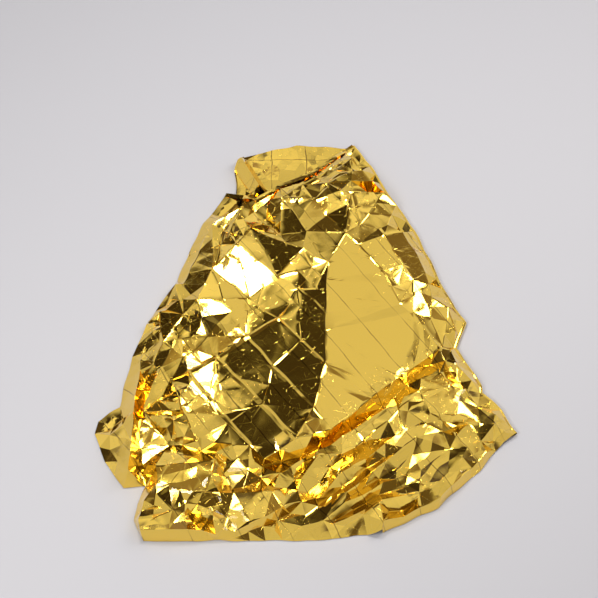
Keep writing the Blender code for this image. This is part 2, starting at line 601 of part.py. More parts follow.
class TopLayer:
    """The crumpled top layer: a net of large flat facets on the main creases, with smaller ones inside it."""

    def __init__(self):
        self.fold_side = points_of(RIGHT_SIDE)
        self.hem = points_of(RIGHT_SIDE[-1:] + HEM + LEFT_SIDE)
        self.collar = points_of(LEFT_SIDE[-1:] + COLLAR + RIGHT_SIDE[:1])
        self.outline = self.fold_side + self.hem[1:] + self.collar[1:-1]
        self.rim = resampled(self.outline + self.outline[:1], EDGE_STEP)
        self.creases = [path_of(crease) for crease in CREASES]
        self.peaks = [on_plan(*peak[1:]) for peak in PEAKS]
        self.dice = np.random.default_rng(CRUMPLE_SEED)
        self.make_large_net()
        self.make_small_net()

    def crumple_share(self, places):
        share = np.ones(len(places))
        for panel in PANELS:
            share[inside(places, outline_of(panel))] = panel.crumple
        return share

    def rim_height(self, places):
        """Height over the floor of places on the outline."""
        to_fold = nearest(places, self.fold_side)[0]
        height = HEM_LIFT + (SIDE_FOLD_LIFT - HEM_LIFT) * np.maximum(0, 1 - to_fold / SIDE_FOLD_REACH)
        to_collar, how_far = nearest(places, self.collar)
        collar = np.interp(how_far, lengths_of(self.collar), np.array(COLLAR_HEIGHTS) * CM)
        return np.where(to_collar < 1e-5, collar, height)

    def from_edge(self, places):
        return nearest(places, self.fold_side + self.hem[1:])[0]

    def lowest(self, places):
        """The least height that keeps the layer clear of those below it."""
        return np.minimum(CLEAR_LIFT, HEM_LIFT + self.from_edge(places) * HEM_SLOPE)

    def rim_corners(self):
        """Loose corners at uneven distances inside the outline."""
        path = plan(self.rim)
        along = path[1:] - path[:-1]
        square = np.column_stack([along[:, 1], -along[:, 0]]) / np.linalg.norm(along, axis=1)[:, None]
        reach = self.dice.uniform(*RIM_CORNER_REACH, len(along))[:, None]
        found = path[:-1] + along / 2 + square * reach
        return found[inside(found, self.outline)]

    def make_large_net(self):
        """Large facets. Their loose corners stand near the main creases' own heights, more or less."""
        rim = self.rim[:-1]
        rim_heights = list(self.rim_height(plan(rim)))
        given = rim_heights + [place.z for line in self.creases + [self.peaks] for place in line]
        net, triangles, _, origins = net_of(rim, self.creases, self.peaks)
        heights = heights_of(net, origins, given, self.creases)

        lines = [resampled(crease, LARGE_STEP) for crease in self.creases]
        fixed = rim + [place for line in lines for place in line] + self.peaks
        loose = lattice(self.outline, LARGE_FACET)
        loose += self.dice.uniform(-JITTER, JITTER, loose.shape) * LARGE_FACET
        loose = loose[inside(loose, self.outline)]
        loose = loose[self.crumple_share(loose) > LEAST_SHARE]
        loose = spread(fixed, np.vstack([self.rim_corners(), loose]), [self.rim], RIM_CLEAR)
        for line in lines:
            loose = loose[nearest(loose, line)[0] > LARGE_CLOSEST / 2]
        loose = spread(fixed, loose, [], LARGE_CLOSEST)
        uneven = self.dice.uniform(-1, 1, len(loose)) * LARGE_RISE * self.crumple_share(loose)
        loose_heights = carried(loose, net, triangles, heights) + uneven
        edge = self.from_edge(loose)
        swell = RIM_RISE * (1 - np.exp(-edge / RIM_REACH)) * self.dice.uniform(*RIM_SHARES, len(loose))
        near = 1 - np.clip((edge - RIM_BAND) / RIM_BAND, 0, 1)
        loose_heights = loose_heights * (1 - near) + swell * near
        given = rim_heights + [place.z for line in lines + [self.peaks] for place in line]
        given += list(loose_heights)
        self.net, self.triangles, self.edges, origins = net_of(rim, lines, self.peaks + list(loose))
        self.heights = heights_of(self.net, origins, given, lines)
        self.clear_layers(len(rim))

    def make_small_net(self):
        """Small facets inside the large ones, and the raised lines of the packet and the sharpest creases."""
        rim = self.rim[:-1]
        links = [(tuple(self.net[a]), tuple(self.net[b])) for a, b in self.edges]
        raised = [part for crease in PACK_CREASES for part in raised_parts(crease, PACK_WIDTH, PACK_CLEAR)]
        raised += [part for crease in CREASES if crease.name in SHARP_CREASES
                   for part in raised_parts(crease, SHARP_WIDTH, SHARP_CLEAR)]
        lines = [line for part in raised for line in part]
        fixed = [place for line in links + lines for place in line]
        loose = lattice(self.outline, SMALL_FACET)
        loose += self.dice.uniform(-JITTER, JITTER, loose.shape) * SMALL_FACET
        loose = loose[inside(loose, self.outline)]
        loose = loose[self.crumple_share(loose) > LEAST_SHARE]
        for line in links + lines:
            loose = loose[nearest(loose, line)[0] > SMALL_CLOSEST / 2]
        loose = spread(fixed, loose, [self.rim], SMALL_CLOSEST)
        places, triangles, edges, _ = net_of(rim, links + lines, loose)
        heights = carried(places, self.net, self.triangles, self.heights)
        inner = nearest(places, self.rim)[0] > SMALL_CLOSEST
        share = self.crumple_share(places) * inner
        heights += self.dice.uniform(-1, 1, len(places)) * SMALL_RISE * share
        for crest, *_ in raised:
            heights[nearest(places, crest)[0] < 1e-5] += LINE_RISE
        self.net, self.triangles, self.edges, self.heights = places, triangles, edges, heights
        self.clear_layers(len(rim))

    def clear_layers(self, rim_count):
        inner = nearest(self.net, self.rim)[0] > 1e-5
        self.heights[inner] = np.maximum(self.heights, self.lowest(self.net))[inner]


def raised_parts(crease, width, clear):
    """The crest and both feet of each straight part of a raised line, clear of the folds at its ends."""
    path = [place.xy for place in path_of(crease)]
    parts = []
    for start, end in zip(path, path[1:]):
        if (end - start).length < LEAST_RAISED:
            continue
        along = (end - start).normalized()
        crest = [start + along * clear, end - along * clear]
        parts.append([[place + along.orthogonal() * width * side for place in crest] for side in (0, -1, 1)])
    return parts


def add_layer(mesh, places, heights, triangles):
    verts = [mesh.verts.new((x, y, z)) for (x, y), z in zip(places, heights)]
    for triangle in triangles:
        mesh.faces.new([verts[i] for i in triangle])
    return verts


def along_path(places, verts, path):
    """The layer's points that lie on a path, in its order."""
    away, how_far = nearest(places, path)
    on = np.flatnonzero(away < 1e-5)
    return [verts[i] for i in on[np.argsort(how_far[on])]]


def outward_of(verts):
    """Level unit vectors square to a run of points, on its left."""
    places = plan([vert.co for vert in verts])
    along = np.gradient(places, axis=0)
    square = np.column_stack([-along[:, 1], along[:, 0], np.zeros(len(places))])
    return square / np.linalg.norm(square, axis=1)[:, None]


def add_bend(mesh, lower, upper, bulge):
    """A half-round bend that joins two layers' edges, point for point."""
    rows = []
    for low, high, away in zip(lower, upper, outward_of(lower)):
        row = [low]
        for step in range(1, FOLD_STEPS):
            angle = math.pi * step / FOLD_STEPS
            place = low.co.lerp(high.co, (1 - math.cos(angle)) / 2)
            place += Vector(away) * bulge * math.sin(angle)
            row.append(mesh.verts.new(place))
        rows.append(row + [high])
    for near, far in zip(rows, rows[1:]):
        for step in range(FOLD_STEPS):
            mesh.faces.new((near[step], far[step], far[step + 1]))
            mesh.faces.new((near[step], far[step + 1], near[step + 1]))


def flat_net(outline, folds=()):
    rim = resampled(outline + outline[:1], EDGE_STEP)
    loose = spread(rim, lattice(outline, UNDER_STEP), [rim, *folds], UNDER_STEP / 3)
    places, triangles, _, _ = net_of(rim[:-1], folds, loose)
    return places, triangles


def build_sheet():
    """The folded sheet as one open surface at the film's middle."""
    mesh = bmesh.new()
    top = TopLayer()
    middle = sum(top.outline, Vector((0.0, 0.0))) / len(top.outline)

    # Top layer
    upper = add_layer(mesh, top.net, top.heights, top.triangles)
    top_side = along_path(top.net, upper, top.fold_side)

    # Back panel: flat on the floor, and the fold that joins it to the top layer
    left_fold = hidden_points(LEFT_FOLD + UNDER_TOP_EDGE[:1])
    hem = [point + (middle - point).normalized() * BACK_INSET for point in points_of(HEM)]
    places, triangles = flat_net(top.fold_side + hem + left_fold + points_of(NECK[1:]))
    lower = add_layer(mesh, places, np.full(len(places), LAYER_MID), triangles)
    back_side = along_path(places, lower, top.fold_side)
    back_left = along_path(places, lower, left_fold)
    add_bend(mesh, back_side, top_side, SIDE_FOLD_BULGE)

    # Left flap: folded over the back panel and flat under the top layer, but for its collar
    crest = [Vector(place) * CM for place in COLLAR_FOLD]
    along = (crest[1] - crest[0]).normalized() * COLLAR_FOLD_WIDTH * CM
    folds = [[place + along.orthogonal() * side for place in crest] for side in (-1, 1)]
    folds.append(crest + [crest[1] + along])
    outline = left_fold + hidden_points(UNDER_TOP_EDGE[1:] + UNDER_FREE_EDGE)
    places, triangles = flat_net(outline, folds)
    stand = np.maximum(0, 1 - nearest(places, crest)[0] / (COLLAR_FOLD_WIDTH * CM))
    flap = add_layer(mesh, places, LAYER_MID + UNDER_FLAP_LIFT + COLLAR_FOLD_RISE * CM * stand, triangles)
    add_bend(mesh, back_left, along_path(places, flap, left_fold), LAYER_FOLD_BULGE)

    bmesh.ops.recalc_face_normals(mesh, faces=mesh.faces)
    return mesh


def centre(mesh):
    """Moves the sheet so that the middle of its plan is the origin."""
    places = plan([vert.co for vert in mesh.verts])
    middle = (places.min(0) + places.max(0)) / 2
    bmesh.ops.translate(mesh, vec=(-middle[0], -middle[1], 0.0), verts=mesh.verts)


def film_material():
    material = bpy.data.materials.new("gold film")
    material.use_nodes = True
    shader = material.node_tree.nodes["Principled BSDF"]
    shader.inputs["Base Color"].default_value = FILM_COLOUR
    shader.inputs["Metallic"].default_value = 1.0
    shader.inputs["Roughness"].default_value = FILM_ROUGHNESS
    return material


def build_blanket(collection):
    sheet = build_sheet()
    centre(sheet)
    data = bpy.data.meshes.new(NODE_NAME)
    sheet.to_mesh(data)
    sheet.free()
    blanket = bpy.data.objects.new(NODE_NAME, data)
    collection.objects.link(blanket)
    data.materials.append(film_material())
    film = blanket.modifiers.new("Film thickness", "SOLIDIFY")
    film.thickness = FILM_THICKNESS
    film.offset = 0.0
    film.use_even_offset = False
    film.use_rim = True


clear_scene()
blanket_collection = bpy.data.collections.new(OBJECT_NAME)
bpy.context.scene.collection.children.link(blanket_collection)
build_blanket(blanket_collection)
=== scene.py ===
"""Emergency foil blanket on a pale studio floor: a sheet of gold metallised film folded round like a cape."""

import math
from collections import namedtuple

import bmesh
import bpy
import numpy as np
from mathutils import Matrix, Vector, noise
from mathutils.geometry import delaunay_2d_cdt


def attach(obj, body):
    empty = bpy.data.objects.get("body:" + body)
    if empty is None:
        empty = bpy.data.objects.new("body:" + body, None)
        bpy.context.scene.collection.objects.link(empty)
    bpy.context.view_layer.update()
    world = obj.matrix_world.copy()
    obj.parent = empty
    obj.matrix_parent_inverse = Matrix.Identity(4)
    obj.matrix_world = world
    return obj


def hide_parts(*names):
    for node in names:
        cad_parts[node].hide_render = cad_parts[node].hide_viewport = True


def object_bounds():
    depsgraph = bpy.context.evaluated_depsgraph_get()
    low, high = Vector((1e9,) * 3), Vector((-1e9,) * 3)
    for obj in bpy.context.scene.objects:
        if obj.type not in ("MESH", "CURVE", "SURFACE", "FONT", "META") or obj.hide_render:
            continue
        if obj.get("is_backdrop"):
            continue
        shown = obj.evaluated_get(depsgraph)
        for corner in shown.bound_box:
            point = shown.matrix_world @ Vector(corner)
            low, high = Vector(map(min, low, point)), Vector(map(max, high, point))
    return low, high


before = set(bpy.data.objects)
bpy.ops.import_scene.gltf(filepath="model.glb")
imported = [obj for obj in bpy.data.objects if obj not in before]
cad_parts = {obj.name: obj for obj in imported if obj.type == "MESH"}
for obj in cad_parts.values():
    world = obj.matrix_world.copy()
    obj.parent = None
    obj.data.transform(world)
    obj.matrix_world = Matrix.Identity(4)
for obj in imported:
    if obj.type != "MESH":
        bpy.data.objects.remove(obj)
cad_low, cad_high = (Vector(corner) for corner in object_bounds())

CM = 0.01

# The sheet as it was cut
SHEET_LENGTH = 2.10
SHEET_WIDTH = 1.30

# The lines that its packet leaves in it: their pitch, rise, place, turn on the floor and thin creases, with
# the painted shade along these
PACK_PITCH_LONG = SHEET_LENGTH / 22
PACK_PITCH_SHORT = SHEET_WIDTH / 12
PACK_RISE_LONG = 0.0016
PACK_RISE_SHORT = 0.0010
PACK_OFFSET = 0.103
GRID_TURN = 37.5
CREASE_DEPTH = 0.00022
CREASE_WIDTH = 0.0017
# How strongly the thin creases are painted dark, as painted shade
CREASE_SHADE_STRENGTH = 0.95
PACKET_FOLDS = 9
PACKET_CLEAR = 0.008
SHORTEST_PIECE = 4

# Layers
BACK_LIFT = 0.0007
BACK_UNEVEN = 0.0038
UNDER_FLAP_LIFT = 0.0060
CLEAR_LIFT = 0.0110
HEM_LIFT = 0.0022
SIDE_FOLD_LIFT = 0.0150
SIDE_FOLD_REACH = 0.080
LAYER_FOLD_BULGE = 0.0035
SIDE_FOLD_BULGE = 0.0080
FOLD_STEPS = 8
UNDER_STEP = 0.110
BACK_INSET = 0.014
CLEAR_SLOPE = 0.45

# How far the top layer swells in a band along its edge, and how unevenly
HEM_SWELL = 0.024
SIDE_SWELL = 0.014
HEM_SWELL_REACH = 0.10
SWELL_BAND = 0.04
SWELL_SHARES = (0.35, 1.35)
RIM_REACH = 0.020
RIM_UNEVEN = 0.5
RIM_UNEVEN_SPAN = 0.07
RIM_CORNER_REACH = (0.013, 0.045)
RIM_CORNER_PLACES = (0.2, 0.8)

# Facets: a large net on the main creases and, inside it, a small one where the sheet is crumpled
LARGE_FACET = 0.078
LARGE_RISE = 0.011
LARGE_STEP = 0.055
CLOSEST_LARGE = 0.020
LARGE_FROM_SHARE = 0.2
SMALL_FACET = 0.032
SMALL_RISE = 0.0030
CLOSEST_SMALL = 0.011
CREST_PINCH = 0.0006
SOFT_RISE = 0.0010
SOFT_SPAN = 0.075
SOFT_ON_PANELS = 0.12
WARP = 0.0045
WARP_SPAN = 0.055
CALM_SPAN = 0.14
BUSY_SHARE = 0.65
BUSY_CONTRAST = 1.5
JITTER = 0.32
EDGE_STEP = 0.045
RELIEF_REACH = 0.016
FACET_SPLITS = 4
RIDGE_ANGLE = 7
CRUMPLE_SEED = 41

# Slices of the noise that give each set of uneven values its own pattern
RIM_NOISE = 3.0
CALM_NOISE = 5.0
SOFT_NOISE = 9.0
WARP_NOISE = (11.0, 17.0)

# Share of the film's fine crumple on the collar band, the left flap and the back panel
COLLAR_CRUMPLE = 0.5
FLAP_CRUMPLE = 0.4
BACK_CRUMPLE = 0.7

# How near a place counts as on a line, how short a length as none, and how close two places as one
ON_LINE = 1e-5
TINY = 1e-12
WELD = 1e-6

Place = namedtuple("Place", "across down height")
BandStep = namedtuple("BandStep", "reach lift")
Grain = namedtuple("Grain", "scale detail")
Corner = namedtuple("Corner", "name across down height")
HiddenCorner = namedtuple("HiddenCorner", "name x y")
Crease = namedtuple("Crease", "name path")
PackCrease = namedtuple("PackCrease", "name path rise width")
Panel = namedtuple("Panel", "name corners crumple")
Peak = namedtuple("Peak", "name across down height")
Patch = namedtuple("Patch", "name azimuth elevation radius blur tone")
Softbox = namedtuple("Softbox", "name azimuth elevation distance width height power colour")

# The blanket is planned on the view that the camera takes of it, from over its hem. A place is so many points
# across and down this view, with its height over the floor in centimetres
VIEW_POINTS = 598
VIEW_ELEVATION = 60
VIEW_DISTANCE = 3.70
VIEW_REACH = 85 / 36
VIEW_MIDDLE = (-0.017, 0.071, 0.03)
FRAME_WIDTH = 36
STEPS_PER_CM = 2

# Corners of the laid blanket, clockwise from the collar
NECK = (
    Corner("collar, left tip", 240, 150, 0.3),
    Corner("back of the neck", 297, 146, 0.3),
)
RIGHT_SIDE = (
    Corner("collar, right tip", 352, 146, 1.5),
    Corner("right shoulder", 368, 166, 1.5),
    Corner("right upper arm", 386, 193, 1.5),
    Corner("right elbow", 412, 232, 1.5),
    Corner("right forearm", 436, 280, 1.5),
    Corner("right peak, above", 452, 308, 1.5),
    Corner("right peak", 463, 322, 1.5),
    Corner("right notch", 453, 347, 1.5),
    Corner("right skirt", 478, 385, 1.5),
    Corner("right skirt, notch", 479, 393, 1.5),
    Corner("right flare", 499, 410, 1.5),
    Corner("right tip", 515, 434, 1.5),
)
HEM = (
    Corner("hem below the tip", 503, 443, 0.3),
    Corner("hem, right", 480, 470, 0.3),
    Corner("hem, right of middle", 437, 507, 0.3),
    Corner("hem, middle", 382, 533, 0.3),
    Corner("hem, left of middle", 315, 541, 0.3),
    Corner("hem, left", 215, 541, 0.3),
    Corner("rolled corner, below", 142, 541, 0.3),
)
LEFT_SIDE = (
    Corner("rolled corner, above", 132, 522, 0.3),
    Corner("left pleats", 135, 503, 0.3),
    Corner("left notch", 146, 486, 0.3),
    Corner("left bulge, foot", 122, 489, 0.3),
    Corner("left bulge, below", 104, 462, 0.3),
    Corner("left bulge", 94, 434, 0.3),
    Corner("left bulge, above", 97, 421, 0.3),
    Corner("left skirt", 119, 407, 0.3),
    Corner("left forearm", 131, 356, 0.3),
    Corner("left elbow", 147, 322, 0.3),
    Corner("left upper arm", 175, 280, 0.3),
    Corner("left arm", 202, 224, 0.3),
    Corner("left shoulder", 226, 194, 0.3),
)
COLLAR = (
    Corner("foot of the V", 256, 199, 3.2),
    Corner("collar band, end", 278, 187, 4.2),
    Corner("collar band, middle", 305, 177, 4.6),
)

# Height of the collar's edge over the floor, in centimetres, from the left shoulder to the right tip
COLLAR_HEIGHTS = (0.22, 3.2, 4.2, 4.6, 1.5)

# The collar's band, turned back over the layer: each line's reach beyond the edge and lift over it, in metres
COLLAR_BAND = (
    BandStep(0.0035, 0.0025),
    BandStep(0.0020, 0.0050),
    BandStep(-0.0050, 0.0055),
    BandStep(-0.010, 0.0045),
)

# The least part of the edge's height that the band keeps
COLLAR_BAND_BASE = 0.8

# Free edges of the left flap, which lies under the top layer, and its fold along the left side
UNDER_TOP_EDGE = (
    HiddenCorner("under flap, neck", -17.5, 54.5),
    HiddenCorner("under flap, V", -10.5, 43.0),
    HiddenCorner("under flap, corner", 26.0, 22.0),
)
UNDER_FREE_EDGE = (
    HiddenCorner("under flap, side", 34.0, -12.0),
    HiddenCorner("under flap, lower corner", 20.0, -48.0),
    HiddenCorner("under flap, hem", -36.0, -52.5),
)
LEFT_FOLD = (
    HiddenCorner("left fold, foot", -36.5, -46.0),
    HiddenCorner("left fold, skirt", -44.0, -34.0),
    HiddenCorner("left fold, middle", -41.5, -16.0),
    HiddenCorner("left fold, elbow", -34.0, 8.0),
    HiddenCorner("left fold, arm", -23.5, 31.5),
    HiddenCorner("left fold, shoulder", -19.0, 42.0),
    HiddenCorner("left fold, neck", -19.5, 50.0),
)

# The left flap's collar, which stands up beside the neck, in centimetres
COLLAR_FOLD = ((-18.0, 51.5), (-13.0, 42.0))
COLLAR_FOLD_RISE = 4.2
COLLAR_FOLD_WIDTH = 2.4
COLLAR_FOLD_LINES = (-0.5, 0.5, 1)

# Corners where creases meet: the smooth panel and the centre ridge
PANEL_TOP = Place(345, 232, 8.2)
PANEL_SIDE = Place(382, 270, 7.2)
PANEL_GLASS = Place(400, 304, 6.1)
PANEL_FOREARM = Place(413, 313, 6.2)
PANEL_CORNER = Place(439, 350, 5.2)
PANEL_HOLLOW = Place(383, 387, 7.0)
PANEL_LOWER = Place(331, 429, 8.6)
RIDGE_TOP = Place(326, 262, 8.3)
RIDGE_UPPER = Place(326, 313, 8.7)
RIDGE_MIDDLE = Place(324, 364, 8.9)
RIDGE_LOWER = Place(313, 408, 9.2)
RIDGE_FOOT = Place(294, 440, 7.4)

# The dark panel and its cells
MAIN_TOP = Place(298, 288, 7.0)
MAIN_UPPER = Place(278, 320, 6.6)
MAIN_MIDDLE = Place(246, 338, 5.2)
MAIN_LOWER = Place(215, 359, 4.2)
MAIN_FOOT = Place(187, 372, 4.0)
CELL_UPPER = Place(300, 340, 7.4)
CELL_MIDDLE = Place(272, 366, 6.4)
CELL_LOWER = Place(262, 406, 5.7)
CELL_FOOT = Place(216, 414, 2.8)
WHITE_TOP = Place(219, 390, 3.8)
WHITE_FOOT = Place(206, 404, 3.5)
LAP_TOP = Place(179, 399, 4.4)
LAP_SIDE = Place(189, 430, 4.0)
LAP_FOOT = Place(248, 446, 4.7)
LAP_LOWER = Place(262, 460, 5.4)

# The diamond, the breast and the left shoulder
DIAMOND_FOOT = Place(247, 298, 5.7)
DIAMOND_LEFT = Place(212, 269, 6.6)
DIAMOND_TOP = Place(236, 243, 7.4)
DIAMOND_RIGHT = Place(277, 276, 6.7)
BREAST_LEFT = Place(250, 229, 5.4)
BREAST_MIDDLE = Place(301, 249, 7.9)
BREAST_TOP = Place(306, 232, 7.1)
NOTCH_TOP = Place(296, 272, 7.3)
NOTCH_FOOT = Place(315, 288, 7.8)
SHOULDER_TOP = Place(240, 206, 5.4)
ARM_EDGE = Place(195, 300, 6.4)
ARM_BEND = Place(207, 336, 5.4)
ARM_FOLD = Place(222, 299, 6.5)

# The neck and the right shoulder
THROAT_TOP = Place(281, 197, 6.2)
THROAT_FOOT = Place(279, 234, 5.8)
NECK_TOP = Place(351, 159, 6.2)
NECK_MIDDLE = Place(350, 192, 8.0)
COLLAR_LEFT = Place(312, 199, 7.1)
COLLAR_FOOT = Place(325, 216, 6.2)
COLLAR_RIGHT = Place(340, 190, 8.3)
RIGHT_SHOULDER = Place(382, 192, 5.6)
RIGHT_BREAST = Place(360, 225, 7.2)

# The right side and the skirt
BRONZE_LEFT = Place(377, 229, 6.2)
BRONZE_RIGHT = Place(382, 235, 7.0)
GLASS_RIGHT = Place(413, 280, 6.4)
STRIPE_UPPER = Place(425, 272, 5.2)
STRIPE_MIDDLE = Place(430, 297, 5.4)
STRIPE_LOWER = Place(430, 318, 4.4)
STRIPE_FOOT = Place(443, 347, 4.6)
STRIPE_END = Place(478, 408, 3.0)
PEAK_LEFT = Place(447, 308, 4.4)
SKIRT_TOP = Place(430, 364, 3.4)
SKIRT_LEFT = Place(428, 413, 5.2)
SKIRT_FOOT = Place(457, 414, 4.8)
SKIRT_CORNER = Place(478, 424, 3.6)
SKIRT_RIGHT = Place(457, 398, 4.6)
SKIRT_HEM_RIGHT = Place(466, 449, 4.2)
SKIRT_HEM_LEFT = Place(441, 431, 4.2)
SKIRT_HEM_END = Place(425, 424, 4.6)

# The left side
UPPER_ARM = Place(175, 284, 3.8)
FOREARM_TOP = Place(181, 316, 5.2)
FOREARM_LEFT = Place(161, 342, 4.4)
FOREARM_MIDDLE = Place(170, 348, 4.6)
FOREARM_RIGHT = Place(183, 356, 4.2)
FOREARM_HOLLOW = Place(158, 341, 3.0)
PLEAT_TOP = Place(139, 361, 2.6)
SLEEVE_FOOT = Place(142, 380, 1.6)
STAR = Place(142, 411, 3.2)
KNEE_LEFT = Place(153, 466, 5.4)
KNEE_RIGHT = Place(214, 458, 4.6)
KNEE_FOOT = Place(157, 482, 4.9)

# The hem's roll and the piles over it
ROLL_END = Place(184, 505, 5.1)
ROLL_BAND = Place(203, 493, 5.2)
BAND_MIDDLE = Place(234, 493, 5.0)
BAND_RIGHT = Place(270, 491, 5.9)
ROLL_FRONT = Place(186, 529, 4.3)
HEM_STAR_MIDDLE = Place(212, 520, 4.8)
HEM_STAR_RIGHT = Place(226, 517, 3.4)
CAVE_TOP = Place(246, 470, 3.2)
TROUGH_LEFT = Place(262, 467, 2.0)
TROUGH_MIDDLE = Place(299, 457, 3.2)
PILE_MEET = Place(334, 478, 5.2)
PILE_RIGHT = Place(431, 489, 4.8)
PILE_UPPER = Place(447, 472, 4.2)
PILE_END = Place(462, 457, 4.4)
OLIVE_CORNER = Place(383, 521, 4.0)

